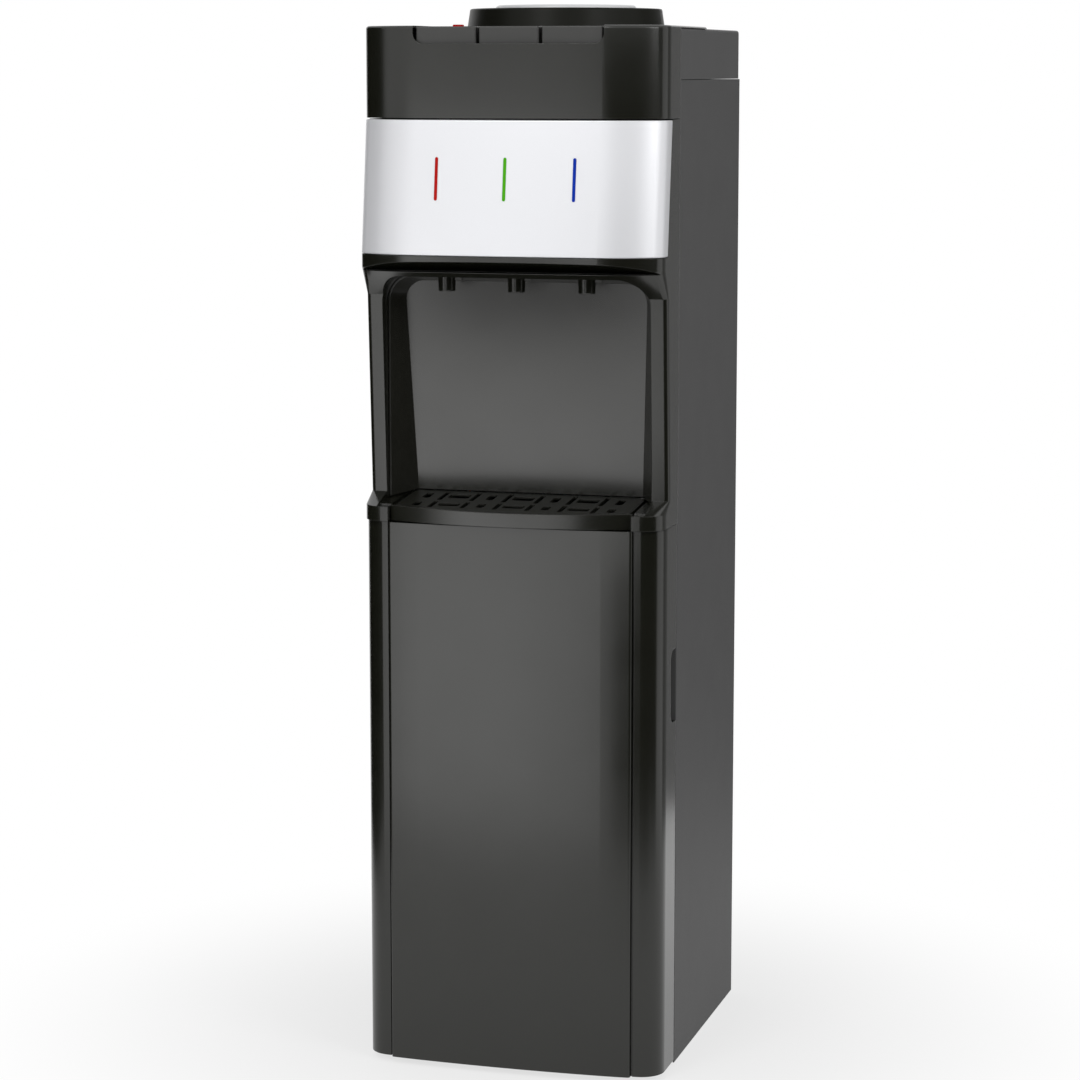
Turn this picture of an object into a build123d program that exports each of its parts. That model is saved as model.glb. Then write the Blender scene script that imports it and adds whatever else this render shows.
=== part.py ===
from build123d import *
from math import asin, cos, hypot, pi, radians, sin, sqrt, tan
import os

# Free-standing top-loading water dispenser with three taps and a storage cabinet.
# Millimetres. X runs across the front, -Y is the front, Z is up from the floor.

# ---- Overall
HALF_W = 155.0  # half of the cabinet width
FRONT_JOINT_Y = -100.0  # the front mouldings meet the steel sides here
REAR_Y = 170.0  # outer face of the back
DECK_Z = 1050.0  # top cover
HEAD_TOP_Z = 1052.0  # front part of the top, one plate thickness higher
SEAM_Z = 1000.0  # lower edge of the top cover
HEAD_Z = 962.4  # lower edge of the button head
FLOOR_GAP = 3.0  # steel sides end this far above the floor
STEEL = 1.2
WALL = 2.5  # moulded wall

# ---- Plan of the front: a shallow bow, a shoulder each side, then the corner
BOW_HALF = 95.0
FASCIA_RADII = (1800.0, 100.0, 20.0)
PILLAR_RADII = (5000.0, 1000.0, 5.0)
DOOR_RADII = (1800.0, 600.0, 24.0)

# ---- Fascia, leaning out towards its foot
FASCIA_FOOT_Z = 829.5
FASCIA_TOP_Z = 961.0
FASCIA_FOOT_Y = -194.0
FASCIA_TOP_Y = -177.5
FASCIA_T = 3.0
FASCIA_WRAP = 44.5  # depth of the return round the corner, from the bow
FASCIA_EDGE_R = 1.2
HEAD_Y = -176.0
MARK_X = 70.0
MARK_W = 3.0
MARK_FOOT_Z = 883.0
MARK_TOP_Z = 925.0
MARK_PROUD = 0.35

# ---- Alcove and front frame
BROW_Z = 824.0  # upper edge of the scoop under the fascia
SCOOP_Z = 813.0  # lower edge of the scoop
SCOOP_Y = -165.0  # its deepest line
CEILING_Z = 808.0
SHOULDER_TOP_Z = 816.0
SHOULDER_FOOT_Z = 788.0
PILLAR_TOP_Y = -152.0
PILLAR_FOOT_Y = -141.0
PILLAR_FOOT_Z = 588.0
BASE_TOP_Z = 577.0
BASE_FOOT_Z = 562.3
BASE_Y = -178.5
OPENING_HALF = 138.0
OPENING_R = 28.0
LINER_Y = -131.5  # front rim of the alcove liner
LINER_T = 2.0
LINER_LIFT = 1.2  # its foot clears the sloping rim of the tray by this much
BACK_TOP = (-112.0, 800.0, 126.0)  # Y, Z and half width of the back wall at its head
BACK_FOOT = (-96.0, 586.0, 118.0)  # and at its foot

# ---- Spouts, valves and buttons
TAP_X = 72.0
TAP_Y = -143.0
SPOUT_FOOT_Z = 792.0
SPOUT_R = 8.8
PIVOT_Y = -118.0
PIVOT_Z = 1040.0
ROD_R = 2.0
RUN_FIT = 0.08
WINDOW_HALF = 96.5
WINDOW_Z = 1034.6
WINDOW_R = 10.0
HEAD_EDGE_R = 3.0
PLATE_BACK_Y = 12.0
BUTTON_FACE_Y = -169.5
BUTTON_BACK_Y = -112.0
BUTTON_TOP_Z = 1051.0
BUTTON_FOOT_Z = 1021.0
BUTTON_SPLIT = 31.8  # centre of the gap between two buttons
BUTTON_GAP = 3.0
BUTTON_WALL = 2.2
PLUNGER_Y = -148.0
BRACKET_Z = 980.0
VALVE_TOP_Z = 1004.0
PLUNGER_TOP_Z = 1026.0
SPRING_WIRE = 1.2
SPRING_R = 6.0
SPRING_TURNS = 5

# ---- Drip tray
TRAY_Y = -184.0
TRAY_ARC_R = 443.0
TRAY_HALF = 125.0
TUB_HALF = 122.0
TRAY_BACK_Y = -94.7
TRAY_TILT = 5.4  # degrees, grid rising to the back
TRAY_FOOT_Z = 564.3
GRID_T = 1.8
GRID_PITCH = 33.6
GRID_ROWS = ((24.0, 27.0, 17.0, 12.0), (60.5, 36.0, 22.0, 16.0))  # place up the slope, slot sizes

# ---- Door
DOOR_Y = -177.0
DOOR_BACK_Y = -104.0
DOOR_FOOT_Z = 7.0
DOOR_TOP_Z = 561.5
DOOR_WALL = 3.0
STRIP_SET = 4.0  # side strips lie behind the panel by this much
GROOVE_X = 126.7
GROOVE_W = 1.6
HINGE_X = -148.0
HINGE_Y = -110.0
HINGE_R = 3.0
GRIP_Y = -126.0
GRIP_FOOT_Z = 362.0
GRIP_TOP_Z = 436.0
GRIP_R = 11.0
GRIP_DEPTH = 13.0

# ---- Bottle seat
BOTTLE_Y = 38.7
COLLAR_R = 101.6
COLLAR_LIP_R = 103.4
COLLAR_TOP_R = 99.0
COLLAR_TOP_Z = 1071.0
CROWN_R = 70.0
CROWN_Z = 1074.5
NECK_R = 31.0
NECK_FOOT_Z = 1000.0

# ---- Inside
TANK_R = 75.0
TANK_FOOT_Z = 800.0
TANK_TOP_Z = 985.0
COIL_R = 79.0
COIL_TUBE_R = 2.8
COIL_PITCH = 18.0
COIL_TURNS = 7
HOT_R = 45.0
HOT_FOOT_Z = 602.0
HOT_TOP_Z = 752.0
SHELF_Z = 785.0
LOWER_SHELF_Z = 586.0
CABINET_HALF = 146.0
CABINET_BACK_Y = 12.0
CABINET_FOOT_Z = 48.0
CABINET_TOP_Z = 548.0
BASE_Z = 12.0
REAR_PANEL_FOOT_Z = 235.0
REAR_PANEL_HALF = 149.0

SUCTION = (106.0, 117.7)  # X and Y of the line down from the coil
CAPILLARY = (-124.0, 98.0)
RISER = (-118.0, 38.7)  # hot water hose beside the tanks
DRAIN_X = 70.0
DRAIN_Z = 255.0
SWITCH_X = (-100.0, -70.0)
SWITCH_Z = 944.0

# ---- Condenser on the back
COND_TUBE_R = 2.4
COND_WIRE_R = 0.8
COND_REAR_Y = 194.0
COND_HALF = 118.0
LEAD_X = 124.0
LEAD_Z = 222.0
COND_FOOT_Z = 300.0
COND_PITCH = 44.0
COND_PASSES = 13
COND_WIRES = 14

os.makedirs("parts", exist_ok=True)


def write(piece, name):
    """Label one finished sub-part and write its STEP."""
    piece.part.label = name
    export_step(piece.part, f"parts/{name}.step")


def on_arc(centre, radius, angle):
    """Point on an arc, its angle counted from the -Y direction."""
    return (centre[0] + radius * sin(angle), centre[1] - radius * cos(angle))


def front_plan(y_front, y_back, radii, inset=0.0):
    """Plan of a front moulding: bow, shoulders, corners and straight sides, all tangent."""
    bow_r, shoulder_r, corner_r = radii
    bow_end = asin(BOW_HALF / bow_r)
    run = HALF_W - corner_r - BOW_HALF + shoulder_r * sin(bow_end)
    shoulder_end = asin(run / (shoulder_r - corner_r))
    bow = (0.0, y_front + bow_r)
    shoulder = on_arc(bow, bow_r - shoulder_r, bow_end)
    corner = on_arc(shoulder, shoulder_r - corner_r, shoulder_end)
    arcs = (
        (shoulder, shoulder_r - inset, bow_end, shoulder_end),
        (corner, corner_r - inset, shoulder_end, pi / 2),
    )
    edge = on_arc(bow, bow_r - inset, bow_end)
    side = HALF_W - inset
    with BuildSketch() as plan:
        with BuildLine():
            ThreePointArc((-edge[0], edge[1]), (0, y_front + inset), edge)
            for hand in (1, -1):
                for centre, radius, start, end in arcs:
                    points = [on_arc(centre, radius, t) for t in (start, (start + end) / 2, end)]
                    ThreePointArc(*[(hand * x, y) for x, y in points])
                Line((hand * side, corner[1]), (hand * side, y_back))
            Line((side, y_back), (-side, y_back))
        make_face()
    return plan.sketch


def block(x0, x1, y0, y1, z0, z1, mode=Mode.ADD):
    """Box between two corners, for the builder that calls it."""
    with Locations(((x0 + x1) / 2, (y0 + y1) / 2, (z0 + z1) / 2)):
        return Box(x1 - x0, y1 - y0, z1 - z0, mode=mode)


def front_band(y_front, y_back, radii, outer, inner):
    """Skin of a front moulding's plan, between two insets."""
    with BuildSketch() as band:
        add(front_plan(y_front, y_back, radii, outer))
        add(front_plan(y_front, y_back + 10, radii, inner), mode=Mode.SUBTRACT)
    return band.sketch


def leaning(rise, slope):
    """Length and direction of a prism that goes back by a slope as it rises."""
    return {"amount": hypot(rise, rise * slope), "dir": Vector(0, slope, 1)}


def spin(points, x=0.0, y=0.0, mode=Mode.ADD):
    """Turned piece about a vertical line, from (radius, height) points."""
    plane = Plane(origin=(x, y, 0), x_dir=(1, 0, 0), z_dir=(0, -1, 0))
    with BuildSketch(plane) as half:
        with BuildLine():
            Polyline(*points, close=True)
        make_face()
    revolve(half.sketch, axis=Axis((x, y, 0), (0, 0, 1)), mode=mode)


FASCIA_RISE = FASCIA_TOP_Z - FASCIA_FOOT_Z
FASCIA_SLOPE = (FASCIA_TOP_Y - FASCIA_FOOT_Y) / FASCIA_RISE
FASCIA_GAP = 0.4  # shadow line round the fascia


# ======== Front fascia and its three marks ========
with BuildPart() as front_fascia:
    with BuildSketch(Plane.XY.offset(FASCIA_FOOT_Z)):
        add(front_plan(FASCIA_FOOT_Y, FASCIA_FOOT_Y + FASCIA_WRAP, FASCIA_RADII))
    extrude(**leaning(FASCIA_RISE, FASCIA_SLOPE))
    ends = front_fascia.faces().sort_by(Axis.Z)
    rims = ends[0].edges().sort_by(Axis.Y)[:-1] + ends[-1].edges().sort_by(Axis.Y)[:-1]
    fillet(rims, FASCIA_EDGE_R)
    with BuildSketch(Plane.XY.offset(FASCIA_FOOT_Z)):
        add(front_plan(FASCIA_FOOT_Y, FASCIA_FOOT_Y + 2 * FASCIA_WRAP, FASCIA_RADII, FASCIA_T))
    extrude(**leaning(FASCIA_RISE, FASCIA_SLOPE), mode=Mode.SUBTRACT)
    with BuildSketch(Plane.XZ.offset(100)):
        with Locations((-MARK_X, 0), (0, 0), (MARK_X, 0)):
            with Locations((0, (MARK_FOOT_Z + MARK_TOP_Z) / 2)):
                SlotOverall(MARK_TOP_Z - MARK_FOOT_Z, MARK_W, rotation=90)
    extrude(amount=120, mode=Mode.SUBTRACT)
write(front_fascia, "front_fascia")


def mark(x):
    """One inlaid strip: the part of the fascia's skin inside a slot, standing a little proud."""
    with BuildPart() as strip:
        with BuildSketch(Plane.XY.offset(FASCIA_FOOT_Z)):
            add(front_band(FASCIA_FOOT_Y, 0, FASCIA_RADII, -MARK_PROUD, FASCIA_T))
        extrude(**leaning(FASCIA_RISE, FASCIA_SLOPE))
        with BuildSketch(Plane.XZ.offset(100)):
            with Locations((x, (MARK_FOOT_Z + MARK_TOP_Z) / 2)):
                SlotOverall(MARK_TOP_Z - MARK_FOOT_Z, MARK_W, rotation=90)
        extrude(amount=120, mode=Mode.INTERSECT)
    return strip


for mark_name, mark_x in (("hot", -MARK_X), ("ambient", 0.0), ("cold", MARK_X)):
    write(mark(mark_x), f"mark_{mark_name}")


# ======== Front frame: backing of the fascia, brow, pillars and tray seat ========
def tray_slope(y):
    """Height of the tray's sloping rim at a depth."""
    return BASE_TOP_Z + (y - BASE_Y) * tan(radians(TRAY_TILT))


def slope_plane(lift):
    """Plane of the tray's rim, raised by a distance, its normal upward."""
    tilt = radians(TRAY_TILT)
    return Plane(origin=(0, BASE_Y, BASE_TOP_Z + lift), x_dir=(1, 0, 0), z_dir=(0, -sin(tilt), cos(tilt)))


with BuildPart() as front_frame:
    with BuildSketch(Plane.XY.offset(FASCIA_FOOT_Z - FASCIA_GAP)):
        add(front_plan(FASCIA_FOOT_Y, -60, FASCIA_RADII))
    extrude(**leaning(FASCIA_RISE + 2 * FASCIA_GAP, FASCIA_SLOPE))
    with BuildSketch(Plane.XY.offset(FASCIA_FOOT_Z - FASCIA_GAP)):
        wrap_y = FASCIA_FOOT_Y + FASCIA_WRAP + FASCIA_GAP
        add(front_band(FASCIA_FOOT_Y, wrap_y, FASCIA_RADII, -1, FASCIA_T + 0.2))
    extrude(**leaning(FASCIA_RISE + 3.0, FASCIA_SLOPE), mode=Mode.SUBTRACT)
    with BuildSketch(Plane.XY.offset(SHOULDER_TOP_Z)):
        add(front_plan(FASCIA_FOOT_Y, FRONT_JOINT_Y, FASCIA_RADII))
    extrude(amount=FASCIA_FOOT_Z - FASCIA_GAP - SHOULDER_TOP_Z)
    with BuildSketch(Plane.XY.offset(SHOULDER_TOP_Z)):
        add(front_plan(FASCIA_FOOT_Y, FRONT_JOINT_Y, FASCIA_RADII))
    with BuildSketch(Plane.XY.offset(SHOULDER_FOOT_Z)):
        add(front_plan(PILLAR_TOP_Y, FRONT_JOINT_Y, PILLAR_RADII))
    loft(ruled=True)
    with BuildSketch(Plane.XY.offset(SHOULDER_FOOT_Z)):
        add(front_plan(PILLAR_TOP_Y, FRONT_JOINT_Y, PILLAR_RADII))
    with BuildSketch(Plane.XY.offset(PILLAR_FOOT_Z)):
        add(front_plan(PILLAR_FOOT_Y, FRONT_JOINT_Y, PILLAR_RADII))
    loft(ruled=True)
    with BuildSketch(Plane.XY.offset(PILLAR_FOOT_Z)):
        add(front_plan(PILLAR_FOOT_Y, FRONT_JOINT_Y, PILLAR_RADII))
    with BuildSketch(Plane.XY.offset(BASE_TOP_Z)):
        add(front_plan(BASE_Y, FRONT_JOINT_Y, DOOR_RADII))
    loft(ruled=True)
    with BuildSketch(Plane.XY.offset(BASE_FOOT_Z)):
        add(front_plan(BASE_Y, FRONT_JOINT_Y, DOOR_RADII))
    extrude(amount=BASE_TOP_Z - BASE_FOOT_Z)
    # Scoop under the brow, deepest in the middle and running out at the corners.
    with BuildSketch(Plane.YZ.offset(-HALF_W - 1)):
        slope = (BROW_Z - SCOOP_Z) / (SCOOP_Y - FASCIA_FOOT_Y)
        with BuildLine():
            Polyline(
                (SCOOP_Y, SCOOP_Z),
                (SCOOP_Y - 40, SCOOP_Z + 40 * slope),
                (SCOOP_Y - 40, SCOOP_Z),
                close=True,
            )
        make_face()
    extrude(amount=2 * HALF_W + 2, mode=Mode.SUBTRACT)
    # Opening of the alcove, with its two rounded upper corners.
    with BuildSketch(Plane.XZ.offset(90)) as opening:
        with Locations((0, (CEILING_Z + BASE_TOP_Z) / 2)):
            Rectangle(2 * OPENING_HALF, CEILING_Z - BASE_TOP_Z)
        fillet(opening.vertices().group_by(Axis.Y)[-1], OPENING_R)
    extrude(amount=130, mode=Mode.SUBTRACT)
    block(-TRAY_HALF - 0.6, TRAY_HALF + 0.6, -200, -90, BASE_FOOT_Z - 1, BASE_TOP_Z + 1, Mode.SUBTRACT)
    # Hollow from behind.
    with BuildSketch(Plane.XY.offset(FASCIA_FOOT_Z - 1)):
        add(front_plan(FASCIA_FOOT_Y, 0, FASCIA_RADII, FASCIA_T + 0.2 + WALL))
    extrude(**leaning(FASCIA_RISE + 6.0, FASCIA_SLOPE), mode=Mode.SUBTRACT)
    block(-HALF_W + WALL, HALF_W - WALL, SCOOP_Y + WALL, -50, CEILING_Z + WALL, FASCIA_FOOT_Z, Mode.SUBTRACT)
    for hand in (-1, 1):
        x0, x1 = sorted((hand * (OPENING_HALF + WALL), hand * (HALF_W - WALL)))
        block(x0, x1, PILLAR_FOOT_Y + 5, -90, PILLAR_FOOT_Z + 4, SHOULDER_FOOT_Z, Mode.SUBTRACT)
    block(-200, 200, FRONT_JOINT_Y, 0, 500, 1000, Mode.SUBTRACT)
    # Seat of the tray: floor, sloping ledges beside it and a back wall.
    block(-TRAY_HALF - 1, TRAY_HALF + 1, -164, -90, BASE_FOOT_Z, BASE_FOOT_Z + 1.6)
    block(-OPENING_HALF, OPENING_HALF, FRONT_JOINT_Y - 2, -90, BASE_FOOT_Z, BASE_FOOT_Z + 1.6)
    for hand in (-1, 1):
        with BuildSketch(Plane.YZ.offset(hand * (TRAY_HALF + 0.6))):
            with BuildLine():
                Polyline(
                    (-162, BASE_FOOT_Z),
                    (-90, BASE_FOOT_Z),
                    (-90, tray_slope(-90)),
                    (-162, tray_slope(-162)),
                    close=True,
                )
            make_face()
        extrude(amount=hand * (OPENING_HALF - TRAY_HALF - 0.6))
    block(-OPENING_HALF, OPENING_HALF, -91.5, -90, BASE_FOOT_Z, 583)
    # Holes for the spouts and for the upper hinge pin of the door.
    with Locations((HINGE_X, HINGE_Y, BASE_FOOT_Z + 4)):
        Cylinder(HINGE_R + 0.1, 9, mode=Mode.SUBTRACT)
    with Locations(*[(x, TAP_Y, CEILING_Z) for x in (-TAP_X, 0, TAP_X)]):
        Cylinder(SPOUT_R + 0.3, 12, mode=Mode.SUBTRACT)
write(front_frame, "front_frame")


# ======== Alcove liner: a tub with splayed sides and a leaning back ========
def liner_mouth(grow):
    """Front section of the liner, on a vertical plane, grown by a wall."""
    half, head, foot = OPENING_HALF - 0.3 - LINER_T + grow, CEILING_Z - 0.3 - LINER_T + grow, 560.0
    with BuildSketch(Plane.XZ.offset(-LINER_Y)) as section:
        with Locations((0, (head + foot) / 2)):
            Rectangle(2 * half, head - foot)
        fillet(section.vertices().group_by(Axis.Y)[-1], OPENING_R - 0.3 - LINER_T + grow)
    return section.sketch


def liner_back(grow):
    """Rear section of the liner on its leaning plane, set back by the same wall."""
    rise = BACK_TOP[1] - BACK_FOOT[1]
    lean = BACK_TOP[0] - BACK_FOOT[0]
    plane = Plane(origin=(0, BACK_FOOT[0] + grow, BACK_FOOT[1]), x_dir=(1, 0, 0), z_dir=(0, -rise, lean))
    taper = (BACK_TOP[2] - BACK_FOOT[2]) / rise
    low, high = 560.0 - BACK_FOOT[1], hypot(rise, lean) + grow
    with BuildSketch(plane) as section:
        with BuildLine():
            Polyline(
                (-BACK_FOOT[2] - grow - taper * low, low),
                (BACK_FOOT[2] + grow + taper * low, low),
                (BACK_TOP[2] + grow, high),
                (-BACK_TOP[2] - grow, high),
                close=True,
            )
        make_face()
        fillet(section.vertices().group_by(Axis.Y)[-1], OPENING_R - 8)
    return section.sketch


with BuildPart() as alcove_liner:
    loft([liner_mouth(LINER_T), liner_back(LINER_T)], ruled=True)
    loft([liner_mouth(0), liner_back(0)], ruled=True, mode=Mode.SUBTRACT)
    split(bisect_by=slope_plane(LINER_LIFT), keep=Keep.TOP)
write(alcove_liner, "alcove_liner")


# ======== Head with the button window, and the plate that runs back from it ========
RIB_X = WINDOW_HALF + 0.7

with BuildPart() as head_cover:
    with BuildSketch(Plane.XY.offset(HEAD_Z)):
        add(front_plan(HEAD_Y, PLATE_BACK_Y, FASCIA_RADII))
    extrude(amount=HEAD_TOP_Z - HEAD_Z)
    fillet(head_cover.faces().sort_by(Axis.Z)[-1].edges().sort_by(Axis.Y)[:-1], HEAD_EDGE_R)
    block(-200, 200, FRONT_JOINT_Y, 50, HEAD_Z - 1, DECK_Z, Mode.SUBTRACT)
    with BuildSketch(Plane.XY.offset(HEAD_Z)):
        add(front_plan(HEAD_Y, FRONT_JOINT_Y, FASCIA_RADII, WALL))
    extrude(amount=HEAD_TOP_Z - WALL - HEAD_Z, mode=Mode.SUBTRACT)
    with Locations((0, BOTTLE_Y, DECK_Z)):
        Cylinder(COLLAR_LIP_R + 0.3, 10, mode=Mode.SUBTRACT)
    with BuildSketch(Plane.XZ.offset(-BUTTON_BACK_Y - 1)) as window:
        with Locations((0, (WINDOW_Z + HEAD_TOP_Z + 5) / 2)):
            Rectangle(2 * WINDOW_HALF, HEAD_TOP_Z + 5 - WINDOW_Z)
        fillet(window.vertices().group_by(Axis.Y)[0], WINDOW_R)
    extrude(amount=100, mode=Mode.SUBTRACT)
    for hand in (-1, 1):
        x0, x1 = sorted((hand * RIB_X, hand * (RIB_X + WALL)))
        block(x0, x1, PIVOT_Y - 5, PIVOT_Y + 5, PIVOT_Z - 6, HEAD_TOP_Z - WALL)
    with Locations(Plane(origin=(0, PIVOT_Y, PIVOT_Z), z_dir=(1, 0, 0))):
        Cylinder(ROD_R + 0.03, 2 * RIB_X + 2 * WALL + 2, mode=Mode.SUBTRACT)
write(head_cover, "head_cover")

with BuildPart() as button_rod:
    with Locations(Plane(origin=(0, PIVOT_Y, PIVOT_Z), z_dir=(1, 0, 0))):
        Cylinder(ROD_R, 2 * RIB_X + 2 * WALL)
write(button_rod, "button_rod")


# ======== Buttons, hinged on one rod, each over its own valve plunger ========
LOCK_X = -56.0
LOCK_Y = -153.0
LOCK_HALF = 4.5
LOCK_TRAVEL = 4.0


def button(x0, x1, post_x):
    """One key: a shell open below, with a hub on the rod and a post over the plunger."""
    with BuildPart() as key:
        block(x0, x1, BUTTON_FACE_Y, BUTTON_BACK_Y, BUTTON_FOOT_Z, BUTTON_TOP_Z)
        fillet(key.edges().filter_by(Axis.Z).group_by(Axis.Y)[0], 1.5)
        fillet(key.faces().sort_by(Axis.Z)[-1].edges(), 1.0)
        block(
            x0 + BUTTON_WALL,
            x1 - BUTTON_WALL,
            BUTTON_FACE_Y + BUTTON_WALL,
            BUTTON_BACK_Y - BUTTON_WALL,
            BUTTON_FOOT_Z - 1,
            BUTTON_TOP_Z - BUTTON_WALL,
            Mode.SUBTRACT,
        )
        block(x0 - 1, x1 + 1, PIVOT_Y - 12, BUTTON_BACK_Y + 1, BUTTON_FOOT_Z - 1, PIVOT_Z - 5, Mode.SUBTRACT)
        with Locations(Plane(origin=((x0 + x1) / 2, PIVOT_Y, PIVOT_Z), z_dir=(1, 0, 0))):
            Cylinder(ROD_R + 2.5, x1 - x0)
            Cylinder(ROD_R + RUN_FIT, x1 - x0 + 2, mode=Mode.SUBTRACT)
        with Locations((post_x, PLUNGER_Y, (PLUNGER_TOP_Z + 0.3 + BUTTON_TOP_Z - 1) / 2)):
            Cylinder(4.0, BUTTON_TOP_Z - 1 - PLUNGER_TOP_Z - 0.3)
    return key


outer = (BUTTON_SPLIT + BUTTON_GAP / 2, WINDOW_HALF - 2.0)
button_hot = button(-outer[1], -outer[0], -TAP_X)
with BuildPart() as button_hot_slotted:
    add(button_hot.part)
    block(
        LOCK_X - LOCK_HALF - 0.3,
        LOCK_X + LOCK_HALF + 0.3,
        LOCK_Y - 4.3,
        LOCK_Y + 4.3 + LOCK_TRAVEL,
        BUTTON_TOP_Z - 5,
        BUTTON_TOP_Z + 1,
        Mode.SUBTRACT,
    )
write(button_hot_slotted, "button_hot")
write(button(-BUTTON_SPLIT + BUTTON_GAP / 2, BUTTON_SPLIT - BUTTON_GAP / 2, 0), "button_ambient")
write(button(*outer, TAP_X), "button_cold")

with BuildPart() as child_lock:
    under = BUTTON_TOP_Z - BUTTON_WALL
    block(LOCK_X - LOCK_HALF, LOCK_X + LOCK_HALF, LOCK_Y - 4, LOCK_Y + 4, under - 0.5, BUTTON_TOP_Z + 2)
    fillet(child_lock.faces().sort_by(Axis.Z)[-1].edges(), 0.8)
    block(LOCK_X - 7, LOCK_X + 7, LOCK_Y - 8, LOCK_Y + 8, under - 1.8, under - 0.3)
write(child_lock, "child_lock")


# ======== Valves on their bracket ========
VALVES = (("hot", -TAP_X), ("ambient", 0.0), ("cold", TAP_X))

with BuildPart() as valve_bracket:
    block(-120, 120, -162, -134, BRACKET_Z, BRACKET_Z + 2)
    block(-120, 120, -162, -160, BRACKET_Z - 8, BRACKET_Z)
    block(-120, 120, -136, -134, BRACKET_Z - 8, BRACKET_Z)
    block(-152.4, 152.4, -134, -112, BRACKET_Z, BRACKET_Z + 2)
    with Locations(*[(x, PLUNGER_Y, BRACKET_Z) for _, x in VALVES]):
        Cylinder(5.5, 10, mode=Mode.SUBTRACT)
write(valve_bracket, "valve_bracket")

with BuildPart() as valve_bodies:
    for _, x in VALVES:
        spin(
            [
                (0, 962),
                (3.9, 962),
                (3.9, 976),
                (4.8, 977),
                (4.8, BRACKET_Z + 2),
                (12, BRACKET_Z + 2),
                (12, 998),
                (9, 1000),
                (9, VALVE_TOP_Z),
                (0, VALVE_TOP_Z),
            ],
            x,
            PLUNGER_Y,
        )
        with Locations(Plane(origin=(x, PLUNGER_Y + 18, 990), z_dir=(0, 1, 0))):
            Cylinder(4.2, 16)
    with Locations(*[(x, PLUNGER_Y, (VALVE_TOP_Z + 986) / 2) for _, x in VALVES]):
        Cylinder(4.0 + RUN_FIT, VALVE_TOP_Z - 986, mode=Mode.SUBTRACT)
write(valve_bodies, "valve_bodies")


def plunger(x):
    """Valve plunger: a stem with a domed head under the button's post."""
    with BuildPart() as stem:
        spin(
            [(0, 991), (4, 991), (4, 1023), (7.5, 1023), (7.5, 1024.8), (4, PLUNGER_TOP_Z), (0, PLUNGER_TOP_Z)],
            x,
            PLUNGER_Y,
        )
    return stem


def coil_path(centre, radius, pitch, turns, start_z, start=0.0):
    """Helix as tangent pairs of arcs, two for each quarter turn."""
    x, y = centre
    climb = pitch / (2 * pi)

    def at(t):
        return Vector(x + radius * cos(t), y + radius * sin(t), start_z + climb * (t - start))

    def heading(t):
        return Vector(-radius * sin(t), radius * cos(t), climb).normalized()

    with BuildLine() as path:
        for quarter in range(round(4 * turns)):
            a, b = start + quarter * pi / 2, start + (quarter + 1) * pi / 2
            p0, p1, t0, t1 = at(a), at(b), heading(a), heading(b)
            v, t = p1 - p0, t0 + t1
            w = 2 * (1 - t0.dot(t1))
            reach = (-v.dot(t) + sqrt(v.dot(t) ** 2 + w * v.dot(v))) / w
            q0, q1 = p0 + t0 * reach, p1 - t1 * reach
            middle = (q0 + q1) / 2
            TangentArc(p0, middle, tangent=t0)
            TangentArc(middle, p1, tangent=q1 - q0)
    return path.wires()[0]


def tube(path, radius, bore=0.0):
    """Round tube or wire along a path, as a solid for the builder that adds it."""
    with BuildPart() as run:
        with BuildSketch(Plane(origin=path @ 0, z_dir=path % 0)):
            Circle(radius)
            if bore:
                Circle(bore, mode=Mode.SUBTRACT)
        sweep(path=path)
    return run.part


def bent(points, bend):
    """Path through points with rounded corners."""
    with BuildLine() as path:
        FilletPolyline(*points, radius=bend)
    return path.wires()[0]


def wound(centre, radius, pitch, turns, start_z, wire_r, start=0.0, lead=0.0):
    """Path of a winding with straight leads; prints the least gap between its turns."""
    path = coil_path(centre, radius, pitch, turns, start_z, start)
    print(f"coil r {radius} wire {2 * wire_r}: gap between turns {abs(pitch) - 2 * wire_r:.2f} mm")
    if not lead:
        return path
    first, last = path @ 0, path @ 1
    ends = [Edge.make_line(first - (path % 0) * lead, first), Edge.make_line(last, last + (path % 1) * lead)]
    return Wire([ends[0], *path.edges(), ends[1]])


spring_room = 1022.3 - VALVE_TOP_Z - 0.7
for valve_name, valve_x in VALVES:
    write(plunger(valve_x), f"plunger_{valve_name}")
    with BuildPart() as spring:
        pitch = spring_room / SPRING_TURNS
        helix = wound((valve_x, PLUNGER_Y), SPRING_R, pitch, SPRING_TURNS, VALVE_TOP_Z + 0.7, SPRING_WIRE / 2)
        add(tube(helix, SPRING_WIRE / 2))
    write(spring, f"spring_{valve_name}")


# ======== Spouts ========
def spout(x):
    """Nozzle through the alcove ceiling, with a flange above it and a locking fin."""
    with BuildPart() as nozzle:
        spin(
            [
                (5.2, SPOUT_FOOT_Z),
                (SPOUT_R - 0.9, SPOUT_FOOT_Z),
                (SPOUT_R - 0.4, SPOUT_FOOT_Z + 1),
                (SPOUT_R, CEILING_Z - 1),
                (SPOUT_R, CEILING_Z + WALL + 0.1),
                (13, CEILING_Z + WALL + 0.1),
                (13, CEILING_Z + WALL + 3),
                (6.5, CEILING_Z + WALL + 4),
                (3.9, CEILING_Z + WALL + 5.5),
                (3.9, CEILING_Z + 22),
                (2.8, CEILING_Z + 22),
                (2.8, CEILING_Z + 4),
                (5.2, CEILING_Z - 4),
            ],
            x,
            TAP_Y,
        )
        block(x + SPOUT_R - 1, x + 16, TAP_Y - 1.5, TAP_Y + 1.5, CEILING_Z - 5, CEILING_Z - 1.2)
    return nozzle


for tap_name, tap_x in VALVES:
    write(spout(tap_x), f"spout_{tap_name}")


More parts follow.
